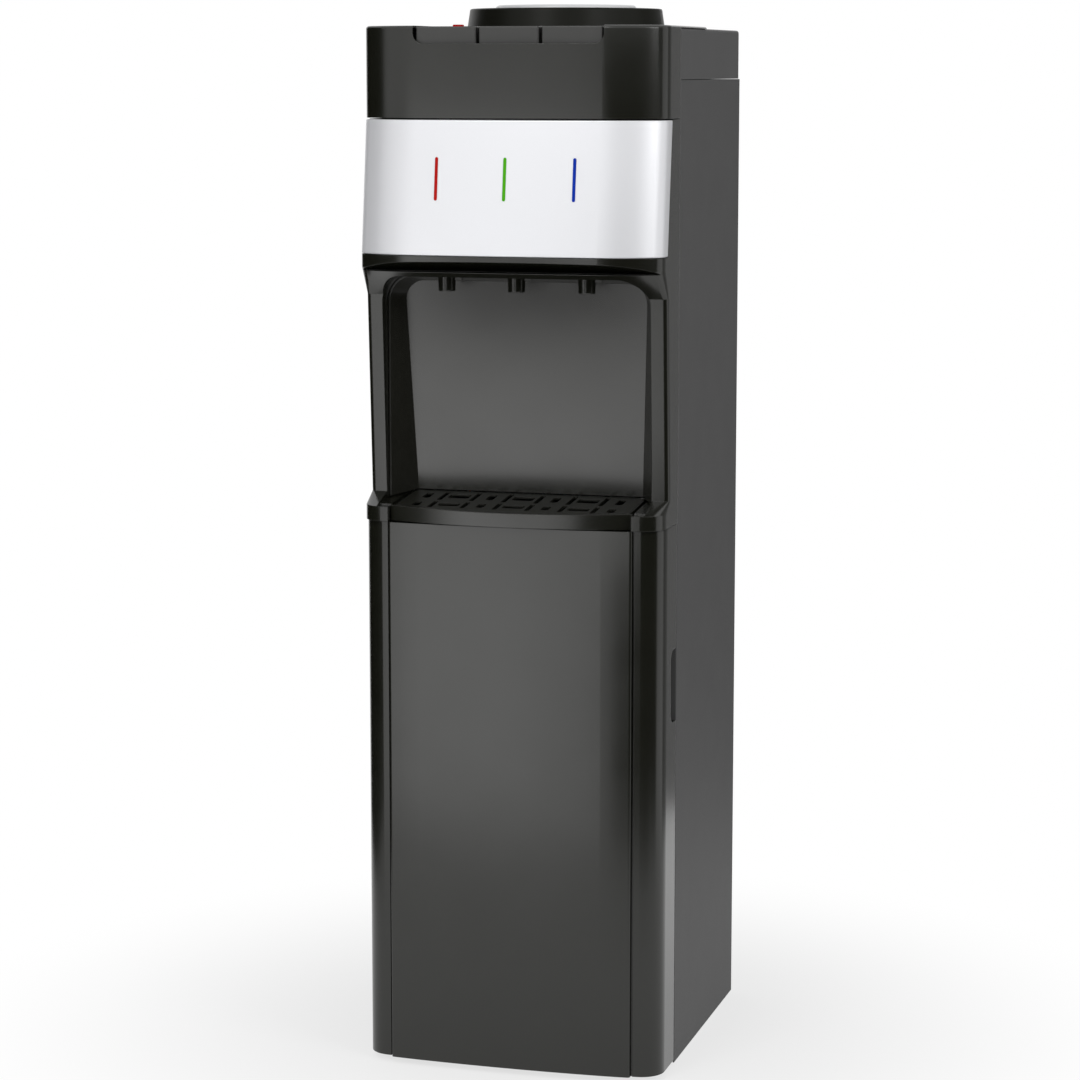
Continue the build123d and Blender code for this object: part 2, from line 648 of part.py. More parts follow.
# ======== Drip tray and its grid ========
def tray_plan(half, y_back, inset):
    """Plan with the bowed front of the tray, a half width and a straight back."""
    centre_y = TRAY_Y + TRAY_ARC_R
    radius = TRAY_ARC_R - inset
    y_end = centre_y - sqrt(radius**2 - half**2)
    with BuildSketch() as plan:
        with BuildLine():
            ThreePointArc((-half, y_end), (0, centre_y - radius), (half, y_end))
            Polyline((half, y_end), (half, y_back), (-half, y_back), (-half, y_end))
        make_face()
    return plan.sketch


with BuildPart() as drip_tray:
    with BuildSketch(Plane.XY.offset(TRAY_FOOT_Z)):
        add(tray_plan(TRAY_HALF, -164, 0))
        add(tray_plan(TUB_HALF, TRAY_BACK_Y, 3))
    extrude(amount=30)
    split(bisect_by=slope_plane(0), keep=Keep.BOTTOM)
    with BuildSketch(Plane.XY.offset(BASE_FOOT_Z + 0.3)):
        add(tray_plan(TRAY_HALF, -164.5, 0))
        add(tray_plan(TRAY_HALF + 1, -100, 3), mode=Mode.SUBTRACT)
    extrude(amount=TRAY_FOOT_Z - BASE_FOOT_Z)
    with BuildSketch(Plane.XY.offset(TRAY_FOOT_Z + 2)):
        add(tray_plan(TUB_HALF - 3.5, TRAY_BACK_Y - 3.5, 6.5))
    extrude(amount=40, mode=Mode.SUBTRACT)
    with BuildPart(mode=Mode.PRIVATE) as rebate:
        with BuildSketch(Plane.XY.offset(TRAY_FOOT_Z)):
            add(tray_plan(TUB_HALF - 1.7, TRAY_BACK_Y - 1.5, 4.0))
        extrude(amount=60)
        split(bisect_by=slope_plane(-GRID_T - 0.1), keep=Keep.TOP)
    add(rebate.part, mode=Mode.SUBTRACT)
write(drip_tray, "drip_tray")

with BuildPart() as drip_grid:
    with BuildSketch(Plane.XY.offset(TRAY_FOOT_Z)):
        add(tray_plan(TUB_HALF - 2.0, TRAY_BACK_Y - 1.9, 4.4))
    extrude(amount=60)
    fillet(drip_grid.edges().filter_by(Axis.Z).group_by(Axis.Y)[-1], 8)
    split(bisect_by=slope_plane(0), keep=Keep.BOTTOM)
    split(bisect_by=slope_plane(-GRID_T), keep=Keep.TOP)
    with BuildSketch(slope_plane(-2 * GRID_T)):
        for row_y, bar_l, slot_l, hole_w in GRID_ROWS:
            with Locations(*[((k + 0.5) * GRID_PITCH, row_y) for k in range(-3, 3)]):
                SlotOverall(bar_l, 5, rotation=90)
            with Locations(*[(k * GRID_PITCH, row_y) for k in (-3, -1, 1, 3)]):
                SlotOverall(slot_l, 8, rotation=90)
            with Locations(*[(k * GRID_PITCH, row_y) for k in (-2, 0, 2)]):
                RectangleRounded(22, hole_w, 3.5)
    extrude(amount=4 * GRID_T, mode=Mode.SUBTRACT)
write(drip_grid, "drip_grid")


# ======== Door: moulded frame, bowed panel, inner sheet, gasket and hinges ========
FRAME_Y = DOOR_Y + STRIP_SET

with BuildPart() as door_frame:
    with BuildSketch(Plane.XY.offset(DOOR_FOOT_Z)):
        add(front_plan(FRAME_Y, DOOR_BACK_Y, DOOR_RADII))
    extrude(amount=DOOR_TOP_Z - DOOR_FOOT_Z)
    with BuildSketch(Plane.XY.offset(DOOR_FOOT_Z + DOOR_WALL)):
        add(front_plan(FRAME_Y, -50, DOOR_RADII, DOOR_WALL))
    extrude(amount=DOOR_TOP_Z - DOOR_FOOT_Z - 2 * DOOR_WALL, mode=Mode.SUBTRACT)
    # Groove each side of the panel.
    with BuildSketch(Plane.XY.offset(DOOR_FOOT_Z - 1)):
        with Locations((-GROOVE_X, FRAME_Y), (GROOVE_X, FRAME_Y)):
            Rectangle(GROOVE_W, 40)
        add(front_plan(FRAME_Y, -50, DOOR_RADII, 2.0), mode=Mode.SUBTRACT)
    extrude(amount=600, mode=Mode.SUBTRACT)
    # Finger recess in the edge away from the hinges, open to the side and the back.
    block(
        HALF_W - GRIP_DEPTH - DOOR_WALL,
        HALF_W - DOOR_WALL / 2,
        GRIP_Y - DOOR_WALL,
        DOOR_BACK_Y,
        GRIP_FOOT_Z - DOOR_WALL,
        GRIP_TOP_Z + DOOR_WALL,
    )
    with BuildSketch(Plane.YZ.offset(HALF_W - GRIP_DEPTH)) as grip:
        with Locations(((GRIP_Y + DOOR_BACK_Y + 2) / 2, (GRIP_FOOT_Z + GRIP_TOP_Z) / 2)):
            Rectangle(DOOR_BACK_Y + 2 - GRIP_Y, GRIP_TOP_Z - GRIP_FOOT_Z)
        fillet(grip.vertices().group_by(Axis.X)[0], GRIP_R)
    extrude(amount=20, mode=Mode.SUBTRACT)
    # Bosses and bores for the two hinge pins.
    with Locations((HINGE_X, HINGE_Y, DOOR_FOOT_Z + 10), (HINGE_X, HINGE_Y, DOOR_TOP_Z - 10)):
        Cylinder(5.8, 20)
    with Locations((HINGE_X, HINGE_Y, DOOR_FOOT_Z), (HINGE_X, HINGE_Y, DOOR_TOP_Z)):
        Cylinder(HINGE_R + RUN_FIT, 36, mode=Mode.SUBTRACT)
write(door_frame, "door_frame")

with BuildPart() as door_panel:
    with BuildSketch(Plane.XY.offset(DOOR_FOOT_Z)):
        add(front_band(DOOR_Y, -80, DOOR_RADII, 0, STRIP_SET - 0.1))
    extrude(amount=DOOR_TOP_Z - DOOR_FOOT_Z)
    with BuildPart(mode=Mode.INTERSECT):
        edge_x = GROOVE_X - GROOVE_W / 2
        block(-edge_x, edge_x, -200, -150, DOOR_FOOT_Z, DOOR_TOP_Z)
    uprights = door_panel.edges().filter_by(Axis.Z).group_by(Axis.X)
    fillet([uprights[0].sort_by(Axis.Y)[0], uprights[-1].sort_by(Axis.Y)[0]], 2.5)
write(door_panel, "door_panel")

with BuildPart() as door_inner:
    block(-151.5, 151.5, DOOR_BACK_Y - 2, DOOR_BACK_Y, DOOR_FOOT_Z + 3.5, DOOR_TOP_Z - 3.5)
    for z0, z1 in ((0, 28), (540, 600)):
        block(-160, HINGE_X + 6.2, -120, -100, z0, z1, Mode.SUBTRACT)
    grip_x = HALF_W - GRIP_DEPTH - DOOR_WALL - 0.3
    block(grip_x, 160, -120, -100, GRIP_FOOT_Z - DOOR_WALL - 0.3, GRIP_TOP_Z + DOOR_WALL + 0.3, Mode.SUBTRACT)
    # Two shallow ribs stiffen the sheet.
    for x in (-60, 60):
        block(x - 8, x + 8, DOOR_BACK_Y - 4, DOOR_BACK_Y - 2, 60, 500)
        block(x - 6, x + 6, DOOR_BACK_Y - 2, DOOR_BACK_Y, 62, 498, Mode.SUBTRACT)
write(door_inner, "door_inner")

with BuildPart() as door_gasket:
    with BuildSketch(Plane.XZ.offset(100.4)):
        with Locations((0, 283)):
            RectangleRounded(276, 534, 10)
            RectangleRounded(264, 522, 5, mode=Mode.SUBTRACT)
    extrude(amount=3.5)
write(door_gasket, "door_gasket")

with BuildPart() as door_hinges:
    with Locations((HINGE_X, HINGE_Y, (545 + BASE_FOOT_Z + 8) / 2)):
        Cylinder(HINGE_R, BASE_FOOT_Z + 8 - 545)
    block(-152.8, -136, -122, -90, 2.5, 6)
    block(-152.8, -136, -97.5, -90, 6, BASE_Z - 0.1)
    with Locations((HINGE_X, HINGE_Y, 13)):
        Cylinder(HINGE_R, 14)
write(door_hinges, "door_hinges")

with BuildPart() as cabinet_liner:
    block(-CABINET_HALF, CABINET_HALF, -98.6, CABINET_BACK_Y, CABINET_FOOT_Z, CABINET_TOP_Z)
    block(-152, 152, -98.6, -97.4, 31, 561.8)
    with BuildPart(mode=Mode.SUBTRACT) as room:
        block(
            -CABINET_HALF + 2, CABINET_HALF - 2, -99, CABINET_BACK_Y - 2, CABINET_FOOT_Z + 2, CABINET_TOP_Z - 2
        )
        fillet(room.edges().filter_by(Axis.Y), 8)
write(cabinet_liner, "cabinet_liner")


# ======== Steel body ========
with BuildPart() as base_plate:
    block(-152.5, 152.5, -98.5, 168, BASE_Z, BASE_Z + 1.5)
    block(-150, 150, -98.5, -97, BASE_Z + 1.5, 30)
    block(-150, 150, 166.5, 168, BASE_Z + 1.5, 30)
    for x in (-152.5, 151.0):
        block(x, x + 1.5, -96, 166, BASE_Z + 1.5, 34)
write(base_plate, "base_plate")

with BuildPart() as base_feet:
    with Locations(*[(x, y, BASE_Z / 2) for x in (-125, 125) for y in (-75, 140)]):
        Cylinder(16, BASE_Z)
    fillet(base_feet.edges().filter_by(GeomType.CIRCLE).group_by(Axis.Z)[0], 2)
write(base_feet, "base_feet")


def side_panel(hand):
    """Steel side with a narrow flange at the front and the back."""
    with BuildPart() as sheet:
        outer_x, inner_x = hand * (HALF_W - 0.6), hand * (HALF_W - 0.6 - STEEL)
        x0, x1 = sorted((outer_x, inner_x))
        block(x0, x1, FRONT_JOINT_Y + 0.1, REAR_Y, FLOOR_GAP, SEAM_Z - 0.5)
        for width, y0 in ((14, FRONT_JOINT_Y + 0.1), (14, REAR_Y - STEEL)):
            x0, x1 = sorted((inner_x, inner_x - hand * width))
            block(x0, x1, y0, y0 + STEEL, BASE_Z + 2, SEAM_Z - 0.5)
        fillet(sheet.edges().filter_by(Axis.Z).group_by(Axis.X)[0 if hand < 0 else -1], 1.1)
    return sheet


write(side_panel(-1), "left_side_panel")
write(side_panel(1), "right_side_panel")

with BuildPart() as rear_panel:
    block(
        -REAR_PANEL_HALF,
        REAR_PANEL_HALF,
        REAR_Y - 2 * STEEL - 0.1,
        REAR_Y - STEEL - 0.1,
        REAR_PANEL_FOOT_Z,
        SEAM_Z - 0.5,
    )
    # Vents below the top, and holes for the switches, the drain and the cord.
    with BuildSketch(Plane.XZ.offset(-REAR_Y)):
        for z in (905, 917, 929):
            with Locations((80, z), (26, z), (-28, z)):
                SlotOverall(44, 5)
        with Locations(*[(x, SWITCH_Z) for x in SWITCH_X]):
            Rectangle(17.4, 24.4)
        with Locations((DRAIN_X, DRAIN_Z), (-DRAIN_X, DRAIN_Z)):
            Circle(8.3)
    extrude(amount=10, mode=Mode.SUBTRACT)
write(rear_panel, "rear_panel")

with BuildPart() as top_cover:
    block(-HALF_W, HALF_W, FRONT_JOINT_Y + 0.3, REAR_Y + 1, SEAM_Z, DECK_Z)
    fillet(top_cover.edges().filter_by(Axis.Z).group_by(Axis.Y)[-1], 12)
    fillet(top_cover.faces().sort_by(Axis.Y)[-1].edges().group_by(Axis.Z)[-1], 3)
    block(
        -HALF_W + WALL, HALF_W - WALL, FRONT_JOINT_Y - 1, REAR_Y + 1 - WALL, SEAM_Z - 1, DECK_Z - WALL, Mode.SUBTRACT
    )
    with Locations((0, BOTTLE_Y, DECK_Z)):
        Cylinder(94, 20, mode=Mode.SUBTRACT)
write(top_cover, "top_cover")


# ======== Bottle collar, seat and probe ========
with BuildPart() as bottle_collar:
    spin(
        [
            (90, 1042),
            (93.7, 1042),
            (93.7, DECK_Z),
            (COLLAR_LIP_R, DECK_Z),
            (COLLAR_LIP_R, DECK_Z + 1.4),
            (COLLAR_LIP_R - 0.6, DECK_Z + 2),
            (COLLAR_R, DECK_Z + 2.2),
            (COLLAR_TOP_R, COLLAR_TOP_Z - 1.6),
            (COLLAR_TOP_R - 0.6, COLLAR_TOP_Z - 0.4),
            (COLLAR_TOP_R - 1.8, COLLAR_TOP_Z),
            (COLLAR_TOP_R - 3.0, COLLAR_TOP_Z - 0.6),
            (COLLAR_TOP_R - 3.6, COLLAR_TOP_Z - 2.2),
            (93, 1061),
            (92, 1060),
            (86, 1060),
            (86, 1057.5),
            (90, 1056),
        ],
        0,
        BOTTLE_Y,
    )
write(bottle_collar, "bottle_collar")

with BuildPart() as bottle_seat:
    spin(
        [
            (89.6, 1060.2),
            (89.6, 1062.4),
            (76, 1063),
            (74, 1065),
            (CROWN_R + 2, CROWN_Z - 1.5),
            (CROWN_R, CROWN_Z),
            (CROWN_R - 3, CROWN_Z),
            (CROWN_R - 6, CROWN_Z - 2.5),
            (NECK_R + 4, 1052),
            (NECK_R, 1044),
            (NECK_R, NECK_FOOT_Z + 2.5),
            (13.5, NECK_FOOT_Z + 2.5),
            (13.5, NECK_FOOT_Z),
            (NECK_R + 2, NECK_FOOT_Z),
            (NECK_R + 2, 1044),
            (NECK_R + 6, 1050.5),
            (71, 1060.2),
        ],
        0,
        BOTTLE_Y,
    )
write(bottle_seat, "bottle_seat")

with BuildPart() as water_probe:
    spin(
        [
            (10.5, 986),
            (13, 986),
            (13, NECK_FOOT_Z + 2.6),
            (22, NECK_FOOT_Z + 2.6),
            (22, NECK_FOOT_Z + 5),
            (13, NECK_FOOT_Z + 6),
            (12, 1034),
            (9, 1039),
            (4, 1041),
            (0, 1041),
            (0, 1038.5),
            (7, 1037),
            (9.7, 1033),
            (10.5, NECK_FOOT_Z + 6),
        ],
        0,
        BOTTLE_Y,
    )
    with Locations((0, BOTTLE_Y, 1018)):
        Box(40, 5, 16, mode=Mode.SUBTRACT)
        Box(5, 40, 16, mode=Mode.SUBTRACT)
write(water_probe, "water_probe")


# ======== Tanks and what hangs on them ========
AXIS_Y = BOTTLE_Y

with BuildPart() as tank_shelves:
    for z in (SHELF_Z, LOWER_SHELF_Z):
        block(-152.5, 152.5, -70, 166, z, z + 2)
        for x in (-152.5, 151.3):
            block(x, x + 1.2, -70, 166, z - 14, z)
    with Locations(*[(*spot, 700) for spot in ((0, AXIS_Y), SUCTION, CAPILLARY, RISER)]):
        Cylinder(8, 400, mode=Mode.SUBTRACT)
write(tank_shelves, "tank_shelves")

with BuildPart() as cold_tank:
    spin(
        [
            (4, TANK_FOOT_Z),
            (TANK_R - 3, TANK_FOOT_Z),
            (TANK_R, TANK_FOOT_Z + 3),
            (TANK_R, TANK_TOP_Z),
            (TANK_R - 1.5, TANK_TOP_Z),
            (TANK_R - 1.5, TANK_FOOT_Z + 3.6),
            (TANK_R - 3.6, TANK_FOOT_Z + 1.5),
            (4, TANK_FOOT_Z + 1.5),
        ],
        0,
        AXIS_Y,
    )
write(cold_tank, "cold_tank")

with BuildPart() as tank_lid:
    spin([(14, 985.1), (84, 985.1), (84, 988), (38, 988), (38, 1004), (36, 1004), (36, 988), (14, 988)], 0, AXIS_Y)
    with Locations((48, -4, 995), (0, -28, 995)):
        Cylinder(3.9, 18)
    with Locations((48, -4, 995), (0, -28, 995)):
        Cylinder(2.8, 30, mode=Mode.SUBTRACT)
write(tank_lid, "tank_lid")

with BuildPart() as cold_tank_insulation:
    block(-94, 94, AXIS_Y - 94, AXIS_Y + 94, SHELF_Z + 2.1, TANK_TOP_Z)
    fillet(cold_tank_insulation.edges().filter_by(Axis.Z), 20)
    with Locations((0, AXIS_Y, TANK_FOOT_Z - 0.1 + 100)):
        Cylinder(COIL_R + 4, 200, mode=Mode.SUBTRACT)
    with Locations((0, AXIS_Y, TANK_FOOT_Z)):
        Cylinder(7, 40, mode=Mode.SUBTRACT)
    evaporator = wound(
        (0, AXIS_Y), COIL_R, COIL_PITCH, COIL_TURNS, TANK_FOOT_Z + 20, COIL_TUBE_R, start=pi / 2, lead=96
    )
    for end, way in ((evaporator @ 0, evaporator % 0), (evaporator @ 1, evaporator % 1)):
        with Locations(Plane(origin=end, z_dir=way)):
            Cylinder(4.5, 172, mode=Mode.SUBTRACT)
write(cold_tank_insulation, "cold_tank_insulation")

with BuildPart() as evaporator_coil:
    add(tube(evaporator, COIL_TUBE_R))
write(evaporator_coil, "evaporator_coil")

with BuildPart() as hot_tank:
    spin(
        [
            (4, TANK_FOOT_Z - 0.1),
            (5, TANK_FOOT_Z - 0.1),
            (5, HOT_TOP_Z + 1.5),
            (38, HOT_TOP_Z),
            (HOT_R, HOT_TOP_Z - 8),
            (HOT_R, HOT_FOOT_Z + 8),
            (38, HOT_FOOT_Z),
            (5, HOT_FOOT_Z - 1.5),
            (5, 574),
            (4, 574),
            (4, HOT_FOOT_Z),
            (37.4, HOT_FOOT_Z + 1.5),
            (HOT_R - 1.5, HOT_FOOT_Z + 8.7),
            (HOT_R - 1.5, HOT_TOP_Z - 8.7),
            (37.4, HOT_TOP_Z - 1.5),
            (4, HOT_TOP_Z),
        ],
        0,
        AXIS_Y,
    )
    with Locations(Plane(origin=(-HOT_R - 14, AXIS_Y, 730), z_dir=(1, 0, 0))):
        Cylinder(3.9, 29.5)
        Cylinder(2.9, 40, mode=Mode.SUBTRACT)
write(hot_tank, "hot_tank")

with BuildPart() as heater_band:
    spin([(HOT_R + 0.1, 640), (HOT_R + 2.5, 640), (HOT_R + 2.5, 690), (HOT_R + 0.1, 690)], 0, AXIS_Y)
    for x in (-8, 8):
        block(x - 3, x + 3, AXIS_Y - HOT_R - 3.2, AXIS_Y - HOT_R - 1, 660, 668)
write(heater_band, "heater_band")

with BuildPart() as hot_tank_jacket:
    foot = LOWER_SHELF_Z + 2.1
    spin(
        [(7, foot), (62, foot), (62, 762), (7, 762), (7, 757), (50, 757), (50, foot + 5), (7, foot + 5)], 0, AXIS_Y
    )
    with Locations(Plane(origin=(-56, AXIS_Y, 730), z_dir=(1, 0, 0))):
        Cylinder(7, 20, mode=Mode.SUBTRACT)
write(hot_tank_jacket, "hot_tank_jacket")

with BuildPart() as water_hoses:
    for x in (-TAP_X, 0, TAP_X):
        with BuildLine() as drop:
            Spline(
                (x, TAP_Y, CEILING_Z + 9.5),
                (x, PLUNGER_Y, 975.5),
                tangents=((0, 0, 1), (0, 0, 1)),
            )
        add(tube(drop.wires()[0], 5.6, 4.2))
    barb_y = PLUNGER_Y + 14
    for x, port in ((0, (0, -28)), (TAP_X, (48, -4))):
        with BuildLine() as feed:
            Line((x, barb_y, 990), (x, barb_y + 16, 990))
            Spline(
                (x, barb_y + 16, 990),
                (port[0], port[1] - 16, 1022),
                (*port, 1005),
                tangents=((0, 1, 0), (0, 0, -1)),
            )
            Line((*port, 1005), (*port, 992))
        add(tube(feed.wires()[0], 5.6, 4.3))
    riser = [
        (-68, AXIS_Y, 730),
        (RISER[0], AXIS_Y, 730),
        (RISER[0], AXIS_Y, 990),
        (RISER[0], -92, 990),
        (-TAP_X, -92, 990),
        (-TAP_X, barb_y, 990),
    ]
    add(tube(bent(riser, 14), 5.6, 4.3))
    drain = [
        (0, AXIS_Y, 584),
        (0, AXIS_Y, 556),
        (125, AXIS_Y, 556),
        (125, AXIS_Y, DRAIN_Z),
        (DRAIN_X, AXIS_Y, DRAIN_Z),
        (DRAIN_X, 158, DRAIN_Z),
    ]
    add(tube(bent(drain, 14), 7, 5.3))
write(water_hoses, "water_hoses")


# ======== Refrigeration ========
PUMP_Y = 100.0

with BuildPart() as compressor:
    with BuildSketch(Plane.XY.offset(34)):
        with Locations((0, PUMP_Y)):
            Ellipse(75, 56)
    extrude(amount=122)
    fillet(compressor.edges().group_by(Axis.Z)[0] + compressor.edges().group_by(Axis.Z)[-1], 22)
    with BuildSketch(Plane.XY.offset(92)):
        with Locations((0, PUMP_Y)):
            Ellipse(78, 59)
    extrude(amount=3)
    with BuildSketch(Plane.XY.offset(29)):
        with Locations((0, PUMP_Y)):
            RectangleRounded(172, 120, 12)
    extrude(amount=5.2)
    block(-22, 22, PUMP_Y - 70, PUMP_Y - 50, 60, 90)
    for y in (82.3, SUCTION[1]):
        with Locations(Plane(origin=(78, y, 100), z_dir=(1, 0, 0))):
            Cylinder(4.0, 26)
write(compressor, "compressor")

with BuildPart() as compressor_mounts:
    for x in (-74, 74):
        for y in (PUMP_Y - 46, PUMP_Y + 46):
            spin([(0, 13.5), (9, 13.5), (9, 17), (6, 19), (6, 24), (9, 26), (9, 28.9), (0, 28.9)], x, y)
write(compressor_mounts, "compressor_mounts")

COND_Y = COND_REAR_Y - 2 * COND_WIRE_R - 0.05 - COND_TUBE_R
COND_TOP_Z = COND_FOOT_Z + (COND_PASSES - 1) * COND_PITCH

with BuildPart() as condenser:
    serpentine = [(LEAD_X, 150, LEAD_Z), (LEAD_X, COND_Y, LEAD_Z), (LEAD_X, COND_Y, COND_FOOT_Z)]
    for lap in range(COND_PASSES - 1):
        side = -COND_HALF if lap % 2 == 0 else COND_HALF
        serpentine += [(side, COND_Y, COND_FOOT_Z + lap * COND_PITCH), (side, COND_Y, COND_FOOT_Z + (lap + 1) * COND_PITCH)]
    serpentine += [(-LEAD_X, COND_Y, COND_TOP_Z), (-LEAD_X, COND_Y, LEAD_Z), (-LEAD_X, 150, LEAD_Z)]
    add(tube(bent(serpentine, COND_PITCH / 2 - 0.4), COND_TUBE_R))
    print(f"condenser: gap between passes {COND_PITCH - 2 * COND_TUBE_R:.2f} mm")
    print(f"condenser: gap from bends to leads {LEAD_X - COND_HALF - 2 * COND_TUBE_R:.2f} mm")
    reach = COND_TUBE_R + COND_WIRE_R + 0.05
    wire_x = [(k - (COND_WIRES - 1) / 2) * 13.5 for k in range(COND_WIRES)]
    with Locations(*[(x, COND_Y + hand * reach, (COND_FOOT_Z + COND_TOP_Z) / 2) for x in wire_x for hand in (-1, 1)]):
        Cylinder(COND_WIRE_R, COND_TOP_Z - COND_FOOT_Z + 14)
    for x in (-94.5, 94.5):
        for z in (COND_FOOT_Z + COND_PITCH, COND_TOP_Z - COND_PITCH):
            block(x - 2, x + 2, REAR_Y - STEEL, COND_Y - COND_TUBE_R - 0.05, z - 3, z + 3)
write(condenser, "condenser")

with BuildPart() as refrigerant_lines:
    start, way = evaporator @ 0, evaporator % 0
    suction = [
        start - way * 0.2,
        start - way * 10,
        Vector((start - way * 10).X, SUCTION[1], 100),
        Vector(91.2, SUCTION[1], 100),
    ]
    add(tube(bent(suction, 8), 3.0))
    discharge = [(91.2, 82.3, 100), (LEAD_X, 82.3, 100), (LEAD_X, 82.3, LEAD_Z), (LEAD_X, 149.8, LEAD_Z)]
    add(tube(bent(discharge, 12), 2.6))
    add(tube(bent([(-LEAD_X, 149.8, LEAD_Z), (-LEAD_X, 132, LEAD_Z), (-LEAD_X, 132, 200)], 8), 2.6))
    spin(
        [(0, 118), (2, 118), (2, 124), (9.5, 132), (9.5, 190), (3.5, 198), (3.5, 206), (2.7, 206), (2.7, 200), (0, 200)],
        -LEAD_X,
        132,
    )
    capillary = wound((-LEAD_X + 20, 120), 20, -6, 3, 106, 1.0, start=pi)
    first, last = capillary @ 0, capillary @ 1
    before = first - (capillary % 0) * 12
    after = last + (capillary % 1) * 22
    top, out = evaporator @ 1, evaporator % 1
    lead_in = bent([Vector(before.X, before.Y, 117.9), before, first], 6)
    lead_out = bent(
        [last, after, Vector(after.X, after.Y, 930), Vector(after.X, SUCTION[1], 940), top + out * 8, top + out * 0.2],
        6,
    )
    add(tube(Wire([*lead_in.edges(), *capillary.edges(), *lead_out.edges()]), 1.0))
write(refrigerant_lines, "refrigerant_lines")


# ======== Fittings on the back ========
PANEL_Y = REAR_Y - STEEL - 0.1

with BuildPart() as switch_bezels:
    for x in SWITCH_X:
        block(x - 12, x + 12, PANEL_Y, PANEL_Y + 2.2, SWITCH_Z - 15, SWITCH_Z + 15)
        block(x - 8.5, x + 8.5, PANEL_Y - 14, PANEL_Y, SWITCH_Z - 12, SWITCH_Z + 12)
        block(x - 7.5, x + 7.5, PANEL_Y - 15, PANEL_Y + 3, SWITCH_Z - 11, SWITCH_Z + 11, Mode.SUBTRACT)
write(switch_bezels, "switch_bezels")


def rocker(x):
    """Rocker switch key with a shallow V face, resting on one side."""
    with BuildPart() as key:
        pivot = (x, PANEL_Y - 5, SWITCH_Z)
        with Locations(Plane(origin=pivot, z_dir=(1, 0, 0))):
            Cylinder(10.7, 14.4)
        block(x - 10, x + 10, PANEL_Y - 20, PANEL_Y - 9, SWITCH_Z - 12, SWITCH_Z + 12, Mode.SUBTRACT)
        with BuildSketch(Plane.YZ.offset(x - 10)):
            with BuildLine():
                Polyline(
                    (PANEL_Y + 2.2, SWITCH_Z),
                    (PANEL_Y + 2.2 + 12 * tan(radians(7)), SWITCH_Z + 12),
                    (PANEL_Y + 12, SWITCH_Z + 12),
                    (PANEL_Y + 12, SWITCH_Z - 12),
                    (PANEL_Y + 2.2 + 12 * tan(radians(7)), SWITCH_Z - 12),
                    close=True,
                )
            make_face()
        extrude(amount=20, mode=Mode.SUBTRACT)
    key.part = key.part.rotate(Axis(pivot, (1, 0, 0)), 7)
    return key


write(rocker(SWITCH_X[0]), "rocker_hot")
write(rocker(SWITCH_X[1]), "rocker_cold")


def rearward(points, x, z, mode=Mode.ADD):
    """Turned piece about a line along Y, from (radius, Y) points."""
    with BuildSketch(Plane(origin=(x, 0, z), x_dir=(1, 0, 0), z_dir=(0, 0, 1))) as half:
        with BuildLine():
            Polyline(*points, close=True)
        make_face()
    revolve(half.sketch, axis=Axis((x, 0, z), (0, 1, 0)), mode=mode)


with BuildPart() as drain_outlet:
    rearward(
        [
            (3.6, 146),
            (4.9, 146),
            (4.9, 158.4),
            (8, 158.4),
            (8, PANEL_Y),
            (12, PANEL_Y),
            (12, PANEL_Y + 2.4),
            (8, PANEL_Y + 2.4),
            (8, 182),
            (7, 183),
            (3.6, 183),
        ],
        DRAIN_X,
        DRAIN_Z,
    )
write(drain_outlet, "drain_outlet")

with BuildPart() as drain_cap:
    rearward([(8.3, 172), (11, 172), (11, 189), (10, 190), (0, 190), (0, 186), (8.3, 186)], DRAIN_X, DRAIN_Z)
    with Locations(Plane(origin=(DRAIN_X, 181, DRAIN_Z), z_dir=(0, 1, 0))):
        with PolarLocations(11.6, 12):
            Cylinder(1.2, 14, mode=Mode.SUBTRACT)
write(drain_cap, "drain_cap")

with BuildPart() as cord_gland:
    rearward(
        [
            (3.6, 160),
            (8, 160),
            (8, PANEL_Y),
            (11, PANEL_Y),
            (11, PANEL_Y + 3),
            (6.5, PANEL_Y + 4),
            (5.5, 181),
            (3.6, 181),
        ],
        -DRAIN_X,
        DRAIN_Z,
    )
write(cord_gland, "cord_gland")

with BuildPart() as rear_screws:
    for x in (-146, 146):
        for z in (60, 300, 620, 940):
            rearward([(0, REAR_Y), (3.6, REAR_Y), (3.2, REAR_Y + 1.4), (1.5, REAR_Y + 2), (0, REAR_Y + 2)], x, z)
write(rear_screws, "rear_screws")
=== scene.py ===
"""Finishes, return springs and studio for a free-standing three-tap water dispenser."""

import math

import bpy
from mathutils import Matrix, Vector


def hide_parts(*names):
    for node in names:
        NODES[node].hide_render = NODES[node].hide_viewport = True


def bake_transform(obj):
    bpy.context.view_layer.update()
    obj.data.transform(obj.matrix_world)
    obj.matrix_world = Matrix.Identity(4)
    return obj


bl_info = {
    "name": "Water Dispenser Finish",
    "version": (1, 0, 0),
    "blender": (4, 5, 0),
    "location": "3D View > Sidebar > Dispenser",
    "description": "Finishes and a studio for a three-tap water dispenser",
    "category": "Material",
}

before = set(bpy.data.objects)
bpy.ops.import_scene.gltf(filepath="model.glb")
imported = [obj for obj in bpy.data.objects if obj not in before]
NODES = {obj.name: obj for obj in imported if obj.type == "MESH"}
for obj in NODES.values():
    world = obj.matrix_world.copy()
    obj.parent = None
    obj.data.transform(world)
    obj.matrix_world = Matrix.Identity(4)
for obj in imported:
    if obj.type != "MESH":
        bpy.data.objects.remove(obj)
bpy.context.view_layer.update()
TAPS = ("hot", "ambient", "cold")

# Stretch of the noise that draws brushed lines: they run across the axis with the large number.
LEVEL_LINES = (1, 1, 60)
UPRIGHT_LINES = (40, 1, 1)

